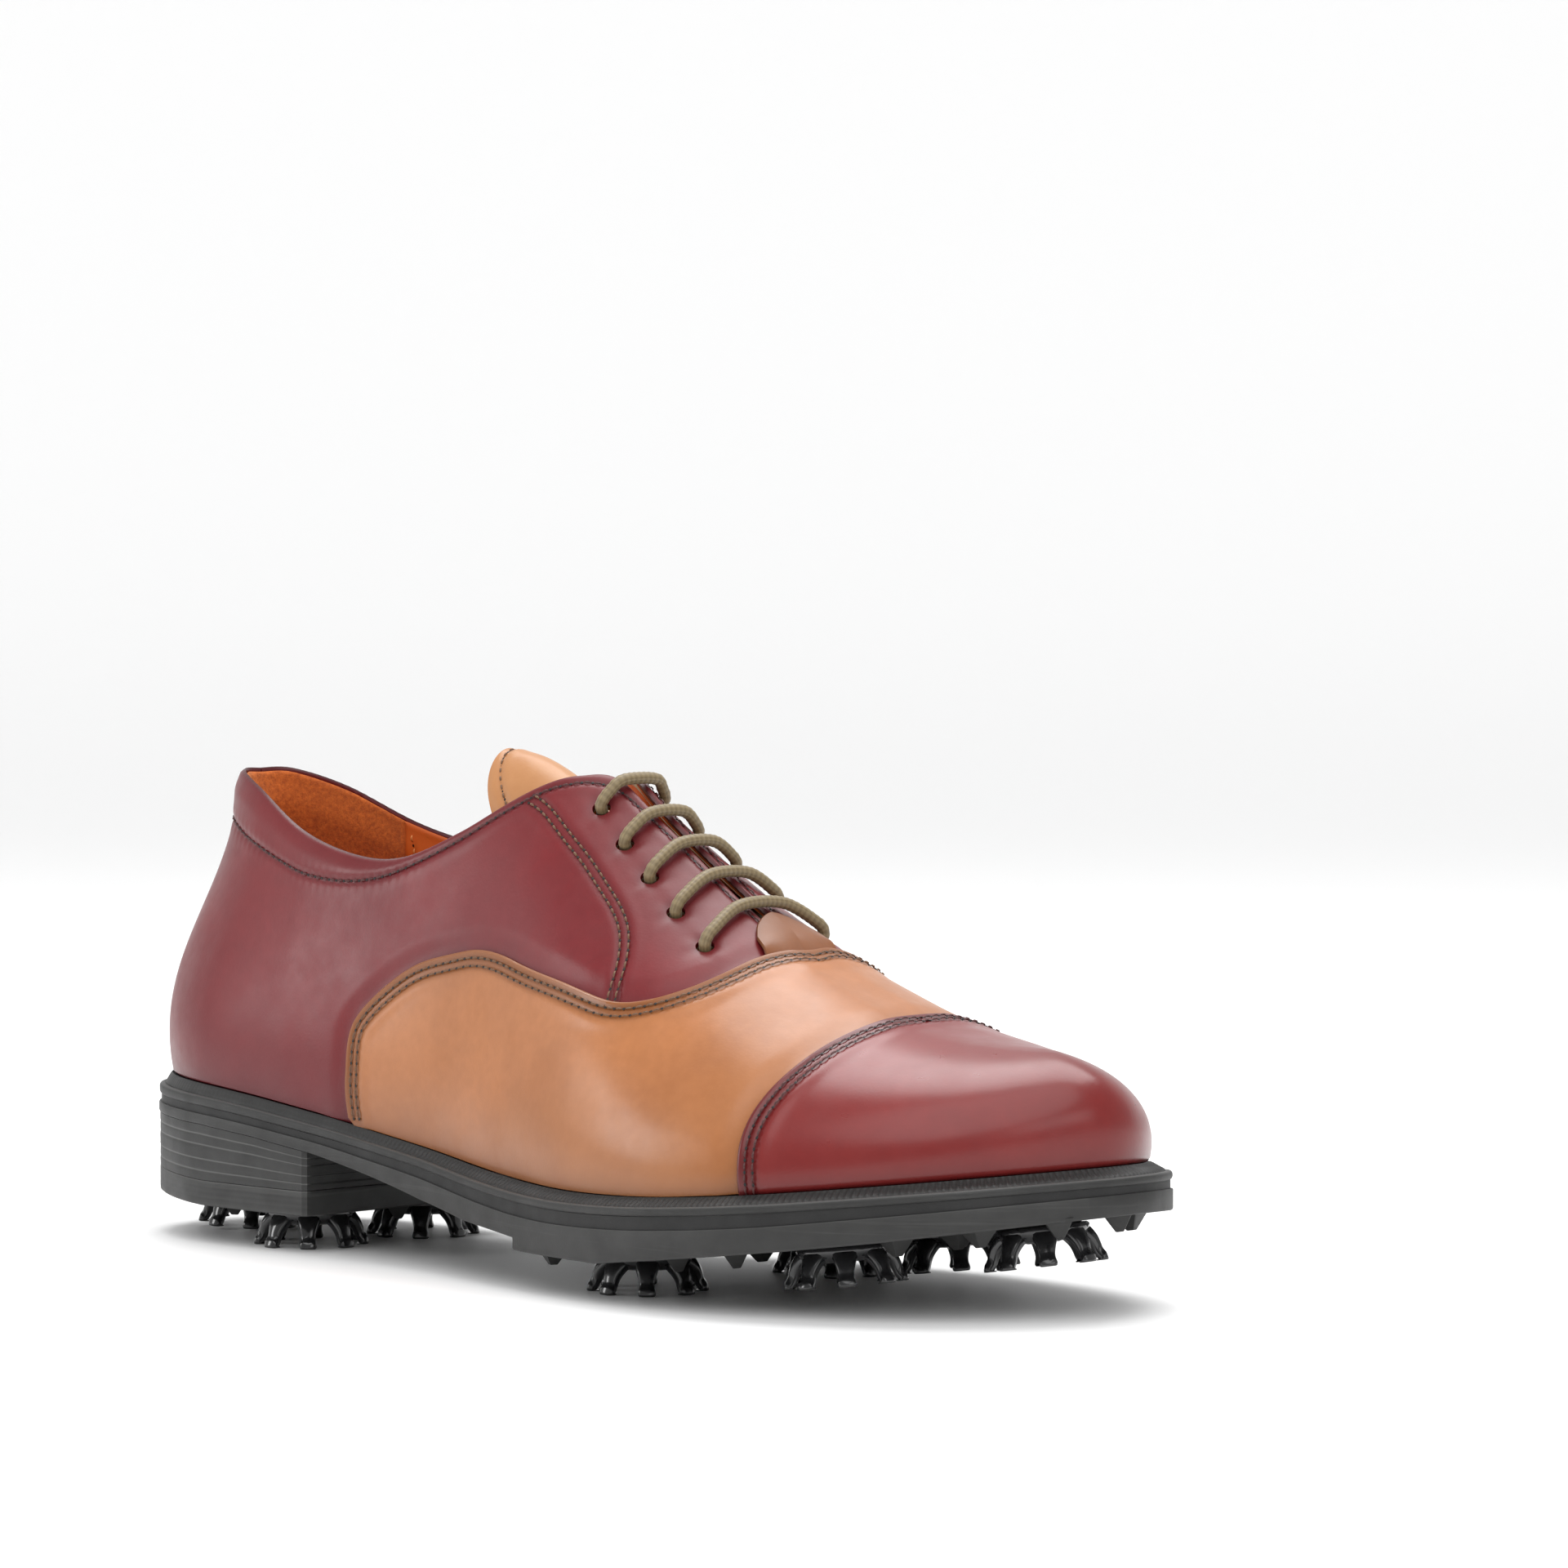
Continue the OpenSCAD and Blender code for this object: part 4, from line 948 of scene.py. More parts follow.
def make_throat_tab():
    low = [(8.38, 0.845), (8.45, 0.89), (8.52, 0.95), (8.56, 1)]
    top = [(8.2, 0.87), (8.12, 0.91), (8.07, 0.96), (8.05, 1)]
    half = ruled(low, top, 10, 30)
    uv = across(half, mirrored(half))
    rise = ramp(np.linspace(0, 1, uv.shape[1]) / 0.55)
    # The tab sinks twice at the ridge: here, and as every thick sheet does.
    height = -0.9 + 2.1 * rise + ridge_round(uv)
    edge_line = skin(across(half[:, -1], mirrored(half[:, -1])))
    thick_sheet("throat_tab_leather", uv, height, 1.0, "brown_leather", node="throat_tab",
                tone=0.5 * np.exp(-distance(skin(uv), edge_line) / 2))


make_cap()
make_vamp()
make_quarter(-1)
make_quarter(1)
make_throat_tab()

# ---- linings and padding ------------------------------------------------------------

LINING = 0.9
LINING_DEPTH = -3.2     # height of the linings' outer side
VAMP_LINING_DEPTH = -4.9
GRIP_TOP = [(0, 0.975), (1, 0.972), (1.9, 0.925), (2.64, 0.848)]
LINING_LOW = [
    (2.65, 0.01), (3.5, 0.01), (4.3, 0.01), (5, 0.01), (5.6, 0.01), (5.85, 0.12), (6.2, 0.26),
    (6.65, 0.38), (7.15, 0.49), (7.6, 0.62), (8.05, 0.78),
]
LINING_TOP = [
    (2.65, 0.847), (3.5, 0.77), (4.2, 0.737), (4.9, 0.745), (5.5, 0.785), (5.95, 0.84),
    (6.3, 0.91), (6.65, 0.955), (7.2, 0.957), (7.75, 0.957), (8.2, 0.957),
]


def both_ways(half):
    half = np.array(half, float)
    return np.concatenate([half[::-1] * [-1, 1], half[1:]])


def lining_height(uv, top_line):
    """The lining comes up under the leather's turned edge."""
    d = distance(face_point(uv[..., 0], uv[..., 1]), top_line)
    return LINING_DEPTH + (-LEATHER - 0.08 - LINING_DEPTH) * (1 - ramp(d / 8)), d


PAD_LOW = [
    (0, 0.865), (1.1, 0.84), (1.95, 0.79), (2.6, 0.745), (3.4, 0.705), (4.2, 0.7), (4.8, 0.72),
]
PAD_HIGH = [
    (0, 0.955), (1.1, 0.95), (1.95, 0.9), (2.6, 0.83), (3.4, 0.76), (4.2, 0.725), (4.8, 0.73),
]
# Back edge of the vamp lining, as (v, u) pairs.
VAMP_LINING_BACK = [(0, 5.72), (0.25, 6.3), (0.45, 7.1), (0.62, 7.8), (0.82, 8.4), (1, 8.7)]


def make_heel_grip():
    top = both_ways(GRIP_TOP)
    uv = ruled(np.stack([top[:, 0], np.full(len(top), 0.01)], -1), top, 16, 60)
    height, d = lining_height(uv, skin(curve_uv(top, 300)))
    nap = 0.05 * np.sin(uv[..., 0] * 190) * np.sin(uv[..., 1] * 330)
    thick_sheet("heel_grip_suede", uv, height + nap, LINING, "lining_suede",
                node="heel_grip_lining", tone=0.3 * np.exp(-d / 2))


def make_quarter_lining(side, name):
    uv = on_side(ruled(LINING_LOW, LINING_TOP, 14, 56), side)
    height, d = lining_height(uv, skin(on_side(curve_uv(LINING_TOP, 500), side)))
    obj = thick_sheet(f"quarter_lining_{name}_leather", uv, height, LINING, "lining_leather",
                      node=f"quarter_lining_{name}", tone=0.35 * np.exp(-d / 2.5))
    punch(obj, side)
    seam_uv = on_side(np.stack([np.full(120, 2.78), np.linspace(0.2, 0.825, 120)], -1), side)
    line, normal = offset_line(seam_uv, 0, LINING_DEPTH - LINING)
    stitches(f"lining_seam_{name}", line, -normal, "thread_orange", pitch=3.2, thick=0.6,
             slot="lining_leather")


def make_padding():
    uv = ruled(both_ways(PAD_LOW), both_ways(PAD_HIGH), 8, 14)
    bulge = np.sin(np.linspace(0, math.pi, uv.shape[1]))
    pad = thick_sheet("collar_foam_pad", uv, -1.6, 0.25 + 0.8 * bulge, "collar_foam",
                      node="collar_padding")


def make_vamp_lining():
    v = np.linspace(0, 1, 36)
    back = smooth_line(VAMP_LINING_BACK, v)
    thick_sheet("vamp_lining_leather", toe_grid(np.linspace(-1, 1, 110), v, back, back),
                VAMP_LINING_DEPTH, LINING, "lining_leather", folded=True, node="vamp_lining", tone=0.1)


make_heel_grip()
make_quarter_lining(-1, "outer")
make_quarter_lining(1, "inner")
make_padding()
make_vamp_lining()

# ---- tongue -----------------------------------------------------------------------

# The tongue's middle line as (x, z), from the throat up; at each of its points the shift
# in y, the half width and how much each side bows down.
TONGUE_LINE = [
    (204, 67), (189, 77), (176, 86), (162, 95.4), (149, 104), (136, 111.6), (123.5, 117),
    (111.5, 119.2),
]
TONGUE_MIDDLE = [0, 0, 0, 0, -0.4, -0.6, -0.5, -0.5]
TONGUE_HALF = [19, 20, 20.5, 20, 18.5, 16.6, 14.8, 12.8]
TONGUE_BOW_OUTER = [0.022, 0.03, 0.038, 0.05, 0.067, 0.084, 0.092, 0.095]
TONGUE_BOW_INNER = [0.022, 0.03, 0.04, 0.06, 0.084, 0.098, 0.1, 0.1]


def tongue_value(values, t):
    return along(column(values), t)[..., 0]


def tongue_grid(t, s, sink):
    """Points of the tongue: t along it in line points, s across from -1 to 1."""
    t, s = np.broadcast_arrays(t, s)
    mid, ahead = along(TONGUE_LINE, t), along(TONGUE_LINE, t + 0.01)
    flat = np.zeros(t.shape)
    step = unit(np.stack([ahead[..., 0] - mid[..., 0], flat, ahead[..., 1] - mid[..., 1]], -1))
    up = np.stack([step[..., 2], flat, -step[..., 0]], -1)
    y = s * tongue_value(TONGUE_HALF, t)
    bow = np.where(s < 0, tongue_value(TONGUE_BOW_OUTER, t), tongue_value(TONGUE_BOW_INNER, t))
    round_tip = 8 * s ** 4 * np.maximum(0, t - len(TONGUE_LINE) + 3) ** 1.6 / 3
    lean = unit(np.stack([flat, 2 * bow * y, np.ones(t.shape)], -1))
    points = np.stack([mid[..., 0] + round_tip, y + tongue_value(TONGUE_MIDDLE, t),
                       mid[..., 1] - bow * y * y], -1)
    shift = up * (lean[..., 2] * sink)[..., None]
    shift[..., 1] += lean[..., 1] * sink
    return points - shift


def make_tongue():
    last = len(TONGUE_LINE) - 1
    t = eased(110, 0.4)[:, None] * last
    s = (2 * eased(56, 0.45) - 1)[None, :]
    # The edge is sewn 3 mm in, round the sides and the tip.
    side_t = np.linspace(0.3, last - 1.15, 200)
    turn = np.linspace(0, math.pi, 160)
    path = np.concatenate([
        np.stack([side_t, np.full(200, -0.8)], -1),
        np.stack([last - 1.15 + 0.93 * np.sin(turn) ** 0.8, -0.8 * np.cos(turn)], -1)[1:-1],
        np.stack([side_t[::-1], np.full(200, 0.8)], -1)])
    sewn = tongue_grid(path[:, 0], path[:, 1], 0.0)
    up = unit(tongue_grid(path[:, 0], path[:, 1], -1.0) - sewn)
    line = sewn.copy()
    for _ in range(6):
        line[1:-1] = (line[:-2] + 2 * line[1:-1] + line[2:]) / 4
    change, near = grooves(tongue_grid(t, s, 0.0), [line], depth=0.3, width=0.8)
    border = np.minimum((last - t) * 17, (1 - np.abs(s)) * 18)
    plump = 0.35 * ramp(border / 8)
    sheet_from_grids("tongue_leather_sheet", tongue_grid(t, s, 0.35 - (change + plump)),
                     tongue_grid(t, s, 1.5), "tongue_leather", node="tongue", body="tongue",
                     slot="tan_leather",
                     tone=0.4 * np.exp(-border / 2.5) + 0.3 * np.exp(-(near / 0.9) ** 2))
    stitches("tongue_stitching", line - up * 0.35, up, "thread_brown", slot="tan_leather",
             body="tongue", thick=0.48)
    t, s = np.linspace(0.25, last - 0.03, 70)[:, None], s * 0.985
    sheet_from_grids("tongue_lining_leather", tongue_grid(t, s, 1.62), tongue_grid(t, s, 2.6),
                     "lining_leather", node="tongue_lining", body="tongue", tone=0.15)


make_tongue()

# ---- lace -------------------------------------------------------------------------

LACE = 2.8
UPPER_T = 4.1           # leather, stay and lining together
LACE_INSIDE = -(UPPER_T + 0.2 + LACE / 2)
LACE_OUTSIDE = LACE / 2 + 0.4
# Where a lace end runs after it goes in at the first hole.
TUCK = [
    (6.62, 0.8), (6.8, 0.755), (7.05, 0.735), (7.3, 0.715), (7.5, 0.68), (7.58, 0.63),
    (7.48, 0.59), (7.25, 0.575), (7, 0.575),
]


def lace_point(uv, height, side):
    return skin(on_side([uv], side), height)[0]


def lace_half(k, side):
    """The lace from inside hole k of one side up to the middle of its bar."""
    u, v = EYELETS[k]
    return [lace_point(uv, height, side) for uv, height in (
        ((u, v), LACE_INSIDE), ((u, v), -LEATHER), ((u, v + 0.004), 0.9),
        ((u + 0.01, v + 0.04), LACE_OUTSIDE + 0.15),
        ((u + 0.02, v + (1 - v) * 0.65), LACE_OUTSIDE + 0.35))]


def lace_bar(k, side):
    """The lace across at hole k, starting on the given side."""
    bar = lace_half(k, -1) + lace_half(k, 1)[::-1]
    return bar if side < 0 else bar[::-1]


def under_run(side, steps):
    """The lace under one facing, at steps counted in holes."""
    a, b = np.array(EYELETS[0]), np.array(EYELETS[4])
    return [lace_point(tuple(a + (b - a) * s / 4), LACE_INSIDE, side) for s in steps]


def tucked_end(side):
    return [lace_point(p, LACE_INSIDE - 0.7 * i / (len(TUCK) - 1), side) for i, p in enumerate(TUCK)]


def braid(length, angle):
    return 0.10 * np.sin(5 * angle + length * 2.1) * np.sin(5 * angle - length * 2.1)


def make_lace():
    route = np.array(
        tucked_end(-1)[::-1] + lace_bar(1, 1)[::-1] + under_run(1, [2]) + lace_bar(3, 1)
        + lace_bar(4, -1) + under_run(1, [3.4, 3, 2.6]) + lace_bar(2, 1)
        + under_run(-1, [1]) + lace_bar(0, -1) + tucked_end(1))
    dense = along(route, np.linspace(0, len(route) - 1, len(route) * 24))
    tube("shoelace_braid", resample(dense, 0.42), LACE / 2 - 0.04, 24, "lace_cord", braid,
         node="shoelace", sharp=80)


make_lace()

# ---- sole -------------------------------------------------------------------------

# Thicknesses and heights along x, as (x, value) pairs.
WELT_T = [(0, 4.6), (80, 3.6), (120, 2.8), (300, 2.8)]
MIDSOLE_T = [(0, 2.2), (80, 2.2), (120, 3.2), (160, 3.8), (240, 3.8), (300, 3.0)]
STRIP_H = [(0, 2.3), (80, 2.0), (120, 1.7), (300, 1.6)]
LIP_H = [(0, 2.6), (80, 2.2), (120, 2.0), (300, 2.0)]
WAIST = [
    (0, 29.1), (20, 28.9), (40, 28.3), (60, 26.6), (80, 24), (100, 20.2), (120, 16.3), (140, 13.4),
    (163, 11.7),
]
TREAD = [
    (163, 9), (195, 9), (210, 10.8), (228, 12.9), (246, 15.1), (264, 17.5), (282, 20.3), (300, 23.2),
]
HEEL = [(-5, 10.8), (0, 10.6), (40, 9), (90, 9)]
STEP_X = 163            # where the tread begins
BREAST_X = 78           # the front face of the heel
LIFT_T = 6              # thickness of the top lift


def margin_at(x):
    """How far the sole stands out past the upper's edge."""
    return 3.35 + 1.65 * ramp((x - 90) / 80)


def sole_outline(u, extra=0.0):
    """Points of the sole's outline, moved out by extra, with its outward directions."""
    s, n = station(u), outward(u)[:, :2]
    return s[:, :2] + n * (margin_at(s[:, 0]) + extra)[:, None], n


def even_ring(count):
    """Stations u spaced evenly along the sole's outline, with the outline's length."""
    u = np.linspace(0, COUNT, 4401)
    length = lengths(sole_outline(u)[0])
    return np.interp(np.linspace(0, length[-1], count, endpoint=False), length, u), length[-1]


def midsole_low(x):
    return feather(x) - line_at(WELT_T, x) - line_at(MIDSOLE_T, x)


def lip_low(x):
    return feather(x) - line_at(STRIP_H, x) - line_at(LIP_H, x)


def ring_grid(u, profile):
    """Points for a list of (offset from the upper's edge, height) arrays at each u."""
    s, n = station(u), outward(u)
    cols = [np.stack([s[:, 0] + n[:, 0] * d, s[:, 1] + n[:, 1] * d, z], -1) for d, z in profile]
    return np.stack(cols, 1)


def make_welt():
    """The welt, with a wheeled top and a rounded lip, as one closed ring."""
    pitch, per_rib = 1.55, 6
    ribs = int(round(even_ring(10)[1] / pitch))
    u, _ = even_ring(ribs * per_rib)
    x = station(u)[:, 0]
    m, f = margin_at(x), feather(x)
    strip, lip = line_at(STRIP_H, x), line_at(LIP_H, x)
    phase = np.arange(len(u)) / per_rib * 2 * math.pi
    rib = 0.34 * (0.5 + 0.5 * np.cos(phase)) ** 0.7 * (0.12 + 0.88 * ramp((x - 80) / 40))
    run = m - 1.5 - 0.5
    low = f - strip - lip
    # The section, as (distance from the upper's edge, height).
    profile = [(np.full(len(u), out), z)
               for out, z in ((-5.0, low + 0.2), (-5.0, f - 0.2), (-0.2, f - 0.1), (0.35, f + 0.28))]
    for k in range(5):
        t = (k + 0.5) / 5
        bite = rib * min(1, 4 * t * (1 - t) + 0.25)
        profile.append((0.55 + run * t - bite * 0.7, f + 0.2 - strip * t - bite * 0.7))
    profile += [(m + out, f - strip + z) for out, z in (
        (-1.45, -0.12), (-1.2, -0.05), (-0.75, 0.05), (-0.30, -0.10), (-0.03, -0.42), (0.06, -0.8))]
    profile += [(m + out, low + z) for out, z in (
        (0.06, 0.75), (-0.05, 0.35), (-0.35, 0.06), (-0.9, 0.0), (-2.4, 0.0))]
    grid = ring_grid(u, profile)
    line = np.zeros(grid.shape[:2])
    line[:, 10:13] = 0.6    # painted highlight: the lip's upper edge is painted paler
    grid, line = (np.concatenate([a, a[:, :1]], 1) for a in (grid, line))
    make_object("welt_lip", grid.reshape(-1, 3), grid_faces(*line.shape, closed=True), "sole_rubber",
                node="welt", weld=0.0005, attributes={"line": line}, sharp=50)


def heel_path(extra):
    """Outline of the heel, closed by its flat front face."""
    p, n = sole_outline(np.linspace(-4.2, 4.2, 700), extra)
    keep = p[:, 0] < BREAST_X - 0.8
    first, last = np.argmax(keep), len(keep) - 1 - np.argmax(keep[::-1])
    side, normals = p[first:last + 1], n[first:last + 1]
    y = np.linspace(side[-1, 1] + 0.8, side[0, 1] - 0.8, 40)
    path = np.concatenate([side, np.stack([np.full(40, float(BREAST_X)), y], -1)])
    normal = np.concatenate([normals, np.tile([1.0, 0.0], (40, 1))])
    normal[len(side) - 1] = normal[len(side)] = (0.7, -0.7)
    normal[0] = normal[-1] = (0.7, 0.7)
    return path, unit(normal)


def slab(name, path, normal, levels, material, cuts=(), line=None, extra=None, **more):
    """A block from a closed path: levels of (inset, height function), capped at top and
    bottom. The caps are cut across at the given x values so that they follow the height
    functions. line gives each level its share of paler rubber, painted highlight along the edges, left
    off a front face, where shade falls."""
    points, tones = [], []
    for k, (inset, height) in enumerate(levels):
        p = path - normal * inset
        points.append(np.stack([p[:, 0], p[:, 1], height(p[:, 0])], -1))
        # Painted highlight on the edges, none on a front face, which lies in shade.
        tones.append(np.where(normal[:, 0] > 0.9, 0.0, line[k] if line else 0.0))
    grid = np.stack(points, 1)
    rows, cols = grid.shape[:2]
    mesh = new_mesh(name, grid.reshape(-1, 3), grid_faces(rows, cols, closed=True),
                    {"line": np.stack(tones, 1)})
    bm = bmesh.new()
    bm.from_mesh(mesh)
    bm.verts.ensure_lookup_table()
    for col in (0, cols - 1):
        cap = bm.faces.new([bm.verts[i * cols + col] for i in range(rows)])
        geometry = [cap] + list(cap.edges)
        for x in cuts:
            at = (x - MIDDLE[0]) * MM
            faces = [g for g in geometry if isinstance(g, bmesh.types.BMFace)]
            if not any(v.co.x > at for f in faces for v in f.verts):
                break
            cut = bmesh.ops.bisect_plane(bm, geom=list(set(geometry)), dist=1e-7,
                                         plane_co=(at, 0, 0), plane_no=(1, 0, 0))
            geometry = [g for g in cut["geom"] if not isinstance(g, bmesh.types.BMVert)]
        bm.verts.ensure_lookup_table()
    if extra:
        extra(bm)
    return add_piece(name, mesh, bm, material, 32, **more)


LUG_ROOT = 0.8          # how deep a lug stands in the sole


def stand_under(x, y, z, slope):
    """Matrix that puts a part at a place under the sole, tilted with it."""
    return (Matrix.Translation(Vector(place([x, y, z])))
            @ Matrix.Rotation(-math.atan(slope), 4, "Y"))


def lug(bm, x, y, z, turn, slope, height, radius, tip=1.2):
    """A small pyramid under the sole, with its edges taken off."""
    made = bmesh.ops.create_cone(bm, cap_ends=True, segments=4, radius1=tip * MM,
                                 radius2=radius * MM, depth=(height + LUG_ROOT) * MM)
    edges = {e for v in made["verts"] for e in v.link_edges}
    bevel = bmesh.ops.bevel(bm, geom=list(edges), offset=0.28 * MM, segments=2, affect="EDGES",
                            profile=0.6)
    verts = {v for f in bevel["faces"] for v in f.verts}
    verts |= {v for v in made["verts"] if v.is_valid}
    middle = z - (height + LUG_ROOT) / 2 + LUG_ROOT
    turned = stand_under(x, y, middle, slope) @ Matrix.Rotation(math.radians(turn), 4, "Z")
    bmesh.ops.transform(bm, matrix=turned, verts=list(verts))


def under_height(x):
    """Height of the walking surface at x, of the top lift or of the tread."""
    return line_at(HEEL, x) if x < BREAST_X else line_at(TREAD, x)


def under_slope(x):
    return (under_height(x + 1) - under_height(x - 1)) / 2


# Lugs as (x, y, turn in degrees).
LUGS = [
    (170, -8, 0), (171, 8, 0), (186, 1, 45), (168, -40, 20), (206, -38, 0), (204, -10, 45),
    (206, 10, 45), (212, 38, -20), (222, -36, 0), (222, 0, 45), (248, 8, 45), (248, 30, 0),
    (260, -25, 30), (262, -8, 45), (264, 26, 0), (276, -16, 30), (290, -6, 0), (291, 12, 0),
    (282, 26, -30), (168, 24, 0),
]
HEEL_LUGS = [(8, -12, 30), (8, 12, -30), (38, -22, 0), (38, 22, 0), (40, 0, 45), (72, 0, 0)]


def add_lugs(places):
    def build(bm):
        for x, y, turn in places:
            lug(bm, x, y, under_height(x), turn, under_slope(x), 3.4, 4.6)
    return build


def tread_lugs(bm):
    add_lugs(LUGS)(bm)
    # A toothed edge where the tread begins.
    for y in np.arange(-37, 31, 6.2):
        lug(bm, STEP_X + 4.2, y, 9.0, 45, 0, 1.9, 2.9, tip=0.9)


def sole_under(x):
    return np.where(x < STEP_X, line_at(WAIST, x), line_at(TREAD, x))


def with_step(path, normal):
    """The outline with two more points at each side of the tread's step."""
    points, normals = [], []
    for i in range(len(path)):
        a, b = path[i], path[(i + 1) % len(path)]
        points.append(a)
        normals.append(normal[i])
        if (a[0] - STEP_X) * (b[0] - STEP_X) < 0:
            sign = 1 if b[0] > a[0] else -1
            for x in (STEP_X - 0.02 * sign, STEP_X + 0.02 * sign):
                points.append(a + (b - a) * ((x - a[0]) / (b[0] - a[0])))
                normals.append(normal[i])
    return np.array(points), np.array(normals)


def joint_height(x):
    """Height of the joint between the heel block and the top lift."""
    return line_at(HEEL, x) + LIFT_T


def make_midsole():
    # The recessed band is given the darker rubber, painted shade in the groove.
    slab("midsole_band", *sole_outline(even_ring(900)[0]), [(0.42, lip_low), (0.38, midsole_low)],
         "groove_rubber", node="midsole", slot="sole_rubber")


def make_outsole():
    path, normal = with_step(*sole_outline(even_ring(900)[0], 0.2))
    levels = [
        (0.45, midsole_low), (0.15, lambda x: midsole_low(x) - 0.08),
        (0.0, lambda x: midsole_low(x) - 0.35), (0.0, lambda x: sole_under(x) + 0.55),
        (0.18, lambda x: sole_under(x) + 0.15), (0.6, sole_under),
    ]
    cuts = sorted(list(np.arange(2, 298, 4.0)) + [STEP_X - 0.01, STEP_X + 0.01])
    # line paints the outsole's top and bottom edges paler, a painted highlight.
    slab("outsole_tread", path, normal, levels, "sole_rubber", cuts=cuts,
         line=[0, 0.35, 0.1, 0, 0.2, 0], extra=tread_lugs, node="outsole")


def make_heel():
    path, normal = heel_path(0.05)
    # Layers of the block, from 0 at the top to 1 at the joint, as (place, groove, line);
    # four of the joints between layers are open grooves whose edges are painted paler, a painted
    # highlight.
    steps = [(k / 9, 0.0, 0.05 * (k % 2)) for k in range(10)]
    for t in (0.17, 0.36, 0.62, 0.83):
        steps += [(t + off, *depth) for off, depth in (
            (-0.022, (0.0, 0.0)), (-0.006, (0.10, 1.0)), (0.006, (0.10, 1.0)), (0.022, (0.0, 0.0)))]
    steps.sort()
    levels = [(0.12 + 0.03 * math.sin(t * 40) + groove,
               lambda x, t=t: line_at(WAIST, x) * (1 - t) + (joint_height(x) + 0.1) * t)
              for t, groove, _ in steps]
    slab("heel_block_stack", path, normal, levels, "sole_rubber", line=[step[2] for step in steps],
         node="heel_block", cuts=[10, 20, 30, 40, 50, 60, 70])
    levels = [(0.22, lambda x: joint_height(x) - 0.05), (0.1, lambda x: joint_height(x) - 0.3)]
    levels += [(0.08 + 0.03 * math.sin(k * 3.1), lambda x, k=k: joint_height(x) - 0.35 - k * 0.66)
               for k in range(1, 8)]
    levels += [(0.12, lambda x: line_at(HEEL, x) + 0.35), (0.55, lambda x: line_at(HEEL, x))]
    # line paints the top lift's upper edge and every other layer paler, a painted highlight.
    line = [1.0, 0.3] + [0.10 * (k % 2) for k in range(1, 8)] + [0.3, 0.0]
    slab("top_lift_layer", path, normal, levels, "sole_rubber", line=line, node="top_lift",
         cuts=[6, 12, 18, 24, 30, 36, 42, 50, 58, 66, 74], extra=add_lugs(HEEL_LUGS))


def make_sock():
    """Leather-covered footbed with a rounded edge."""
    u, _ = even_ring(420)
    n = outward(u)[:, :2]
    path = station(u)[:, :2] - n * (UPPER_T + 0.5)

    def under_top(depth):
        return lambda x: feather(x) + 4.3 - depth

    sock = slab("sock_liner_pad", path, n,
                [(0.9, under_top(0.0)), (0.25, under_top(0.25)), (0.0, under_top(0.9)),
                 (0.3, under_top(1.95))],
                "lining_leather", cuts=list(np.arange(12, 290, 8.0)), node="sock_liner")


make_welt()
make_midsole()
make_outsole()
make_heel()
make_sock()

# ---- cleats -----------------------------------------------------------------------

CLEATS = [(60, -17), (62, 17), (20, 0), (184, -26), (189, 28), (240, -21), (229, 27), (274, 6)]
LEGS = 8
CLEAT_FOOT = -9.0       # height of the legs' feet under the sole
# Body of the cleat as (radius, height): stud, flange, rim and centre boss.
LATHE = [
    (3.9, 3.7), (4.0, 3.4), (4.0, 0.0), (9.8, -0.12), (10.3, -0.5), (10.4, -1.3), (10.1, -2.2),
    (9.2, -3.3), (8.2, -3.7), (7.2, -3.3), (6.2, -3.0), (5.2, -3.3), (3.6, -3.9), (3.2, -3.6),
    (1.6, -3.3), (0.4, -3.3),
]
# Sections of a leg: (radius, height, half width, half thickness, lean in degrees).
LEG = [
    (6.4, -1.3, 3.0, 1.7, 80), (8.8, -2.3, 2.9, 1.75, 55), (10.1, -3.7, 2.45, 1.6, 30),
    (10.9, -5.1, 2.0, 1.4, 14), (11.4, -6.4, 1.75, 1.25, 12), (11.95, -7.5, 1.8, 1.25, 28),
    (12.5, -8.2, 2.0, 1.2, 45), (12.3, -8.75, 1.95, 1.4, 0), (12.1, -9.0, 1.7, 1.25, 0),
]
LEG_SIDES = 12
LEG_RINGS = 25


def leg_rings(turn):
    """Rings of points down one leg that stands out at an angle."""
    up = np.array([0, 0, 1])
    radial = np.array([math.cos(turn), math.sin(turn), 0])
    sideways = np.array([-math.sin(turn), math.cos(turn), 0])
    rings = []
    for r, z, half_w, half_t, lean in LEG:
        tilt = math.radians(lean)
        thick = radial * math.cos(tilt) + up * math.sin(tilt)
        for q in range(LEG_SIDES):
            a = 2 * math.pi * q / LEG_SIDES
            c, s = (math.copysign(abs(value) ** 0.6, value) for value in (math.cos(a), math.sin(a)))
            rings.append(radial * r + up * z + sideways * half_w * c + thick * half_t * s)
    rings = np.array(rings).reshape(len(LEG), -1)
    dense = along(rings, np.linspace(0, len(LEG) - 1, LEG_RINGS)).reshape(LEG_RINGS, LEG_SIDES, 3)
    dense[..., 2] = np.maximum(dense[..., 2], CLEAT_FOOT)
    dense[-1, :, 2] = CLEAT_FOOT
    return dense


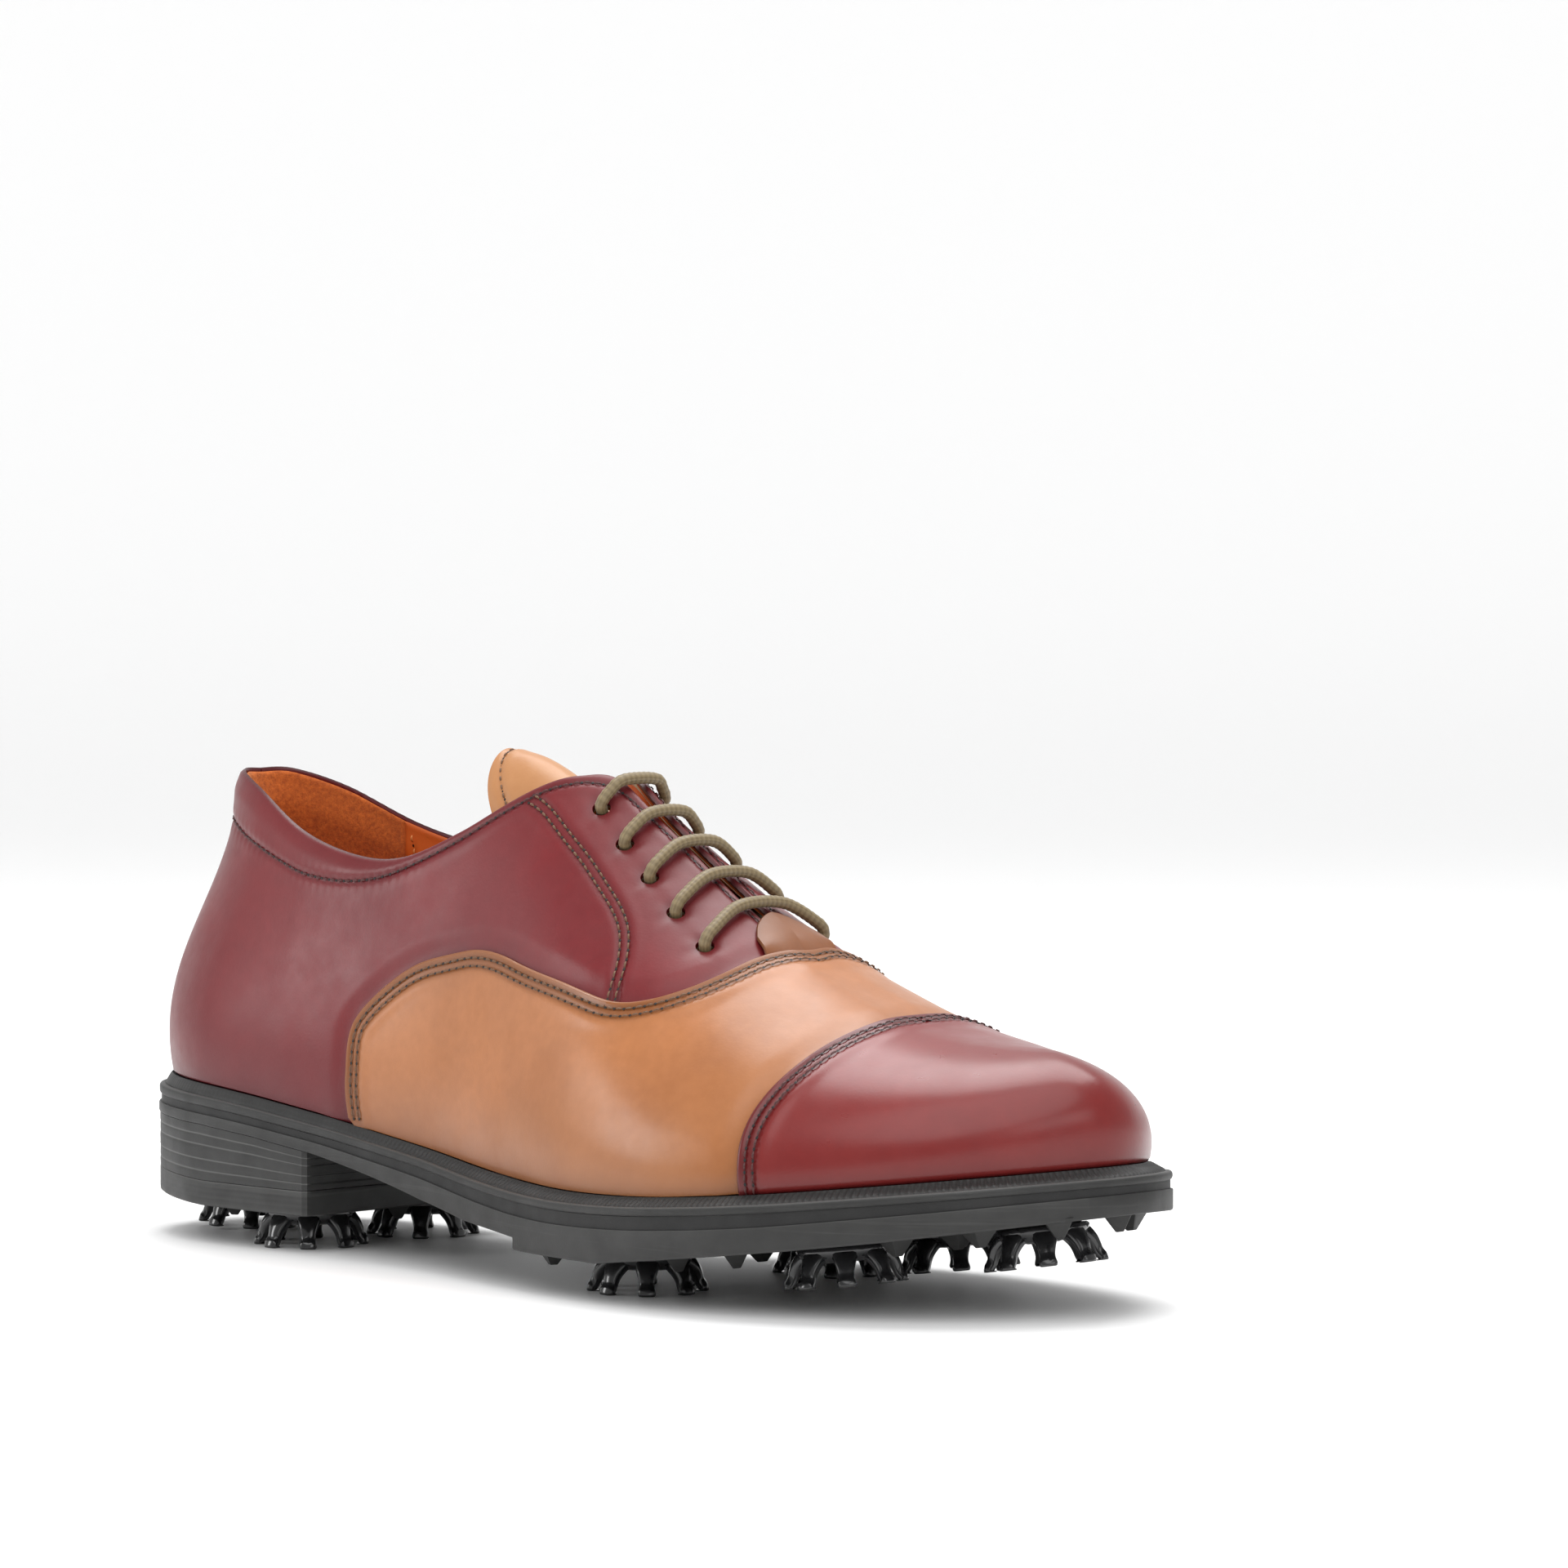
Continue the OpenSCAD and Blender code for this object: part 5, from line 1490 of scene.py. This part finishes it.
def make_cleat(k, x, y):
    angles = np.linspace(0, 2 * math.pi, 48, endpoint=False)
    parts = [np.array([[(r * math.cos(a), r * math.sin(a), z) for a in angles] for r, z in LATHE])]
    parts += [leg_rings(2 * math.pi * i / LEGS) for i in range(LEGS)]
    points, faces = [], []
    for part in parts:
        faces += tube_faces(*part.shape[:2], len(points))
        points.extend(part.reshape(-1, 3))
    local = np.concatenate([np.array(points), np.ones((len(points), 1))], 1)
    stood = stand_under(x, y, under_height(x), under_slope(x)) @ Matrix.Diagonal((MM, MM, MM, 1))
    points = (np.array(stood) @ local.T).T[:, :3] / MM + MIDDLE
    make_object(f"cleat_{k}_claws", points, faces, "cleat_plastic", body=f"cleat_{k}",
                node=f"cleat_{k}", sharp=50)


for number, (cx, cy) in enumerate(CLEATS, 1):
    make_cleat(number, cx, cy)

# ---- CAD nodes that stay ------------------------------------------------------------

KEPT = {
    "facing_stay_outer": "stiffener_board", "facing_stay_inner": "stiffener_board",
    "toe_puff": "stiffener_board", "heel_counter": "stiffener_board", "aglet_outer": "aglet_plastic",
    "aglet_inner": "aglet_plastic", "insole_board": "insole_fibre", "cork_filler": "cork",
    "shank": "spring_steel", "heel_pins": "spring_steel",
}
KEPT.update({f"receptacle_{k}": "receptacle_plastic" for k in range(1, 9)})
for node, material in KEPT.items():
    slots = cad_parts[node].data.materials
    slots.clear()
    slots.append(MATERIALS[material])

# ---- floor and light ----------------------------------------------------------------


FLOOR = [
    (-6.0, 0.0), (-4.0, 0.0), (-2.0, 0.0), (0.0, 0.0), (1.5, 0.0), (3.0, 0.0), (4.4, 0.12),
    (5.4, 0.6), (6.0, 1.5), (6.2, 3.0), (6.2, 7.0),
]
FLOOR_HALF = 9.0
FLOOR_TURN = math.radians(46)


def make_stage():
    """A sheet of white paper that bends up behind the shoe, in metres."""
    m = Nodes("studio_paper")
    paper = m.noise(300, 4)
    m.set(Base_Color=m.mix(m.times(paper, 0.04), (0.93, 0.93, 0.93), (0.86, 0.86, 0.86)),
          Normal=m.bump(paper, 0.03, 0.1), Roughness=0.55)
    path = curve_uv(FLOOR, 60)
    cos, sin = math.cos(FLOOR_TURN), math.sin(FLOOR_TURN)
    points = [(-sin * back + cos * side, cos * back + sin * side, z)
              for back, z in path for side in (-FLOOR_HALF, FLOOR_HALF)]
    mesh = bpy.data.meshes.new("floor")
    mesh.from_pydata(points, [], [f[::-1] for f in grid_faces(len(path), 2)])
    mesh.polygons.foreach_set("use_smooth", np.ones(len(mesh.polygons), bool))
    mesh.materials.append(m.material)
    add_object("floor", mesh)


def softbox(name, location, aim, size, power):
    data = bpy.data.lights.new(name, "AREA")
    data.shape = "RECTANGLE"
    data.size, data.size_y = size
    data.energy = power
    light = add_object(name, data)
    light.location = location
    look_along(light, Vector(aim) - Vector(location))


def sunlight(name, direction, strength, angle):
    data = bpy.data.lights.new(name, "SUN")
    data.energy = strength
    data.angle = math.radians(angle)
    look_along(add_object(name, data), -Vector(direction))


make_stage()
sunlight("even_light", (0.35, -0.45, 0.85), 1.5, 60)
softbox("top_light", (-0.14, 0.34, 1.10), (0.02, 0, 0.05), (1.1, 0.7), 12)
softbox("left_light", (-1.05, -1.05, 0.46), (-0.05, 0, 0.06), (0.42, 0.55), 4.2)
softbox("right_light", (1.35, -0.35, 0.50), (0.05, 0, 0.05), (0.9, 0.35), 1.8)
world = bpy.data.worlds.new("studio")
world.use_nodes = True
background = world.node_tree.nodes["Background"].inputs
background["Color"].default_value = (1, 1, 1, 1)
background["Strength"].default_value = 0.5
bpy.context.scene.world = world
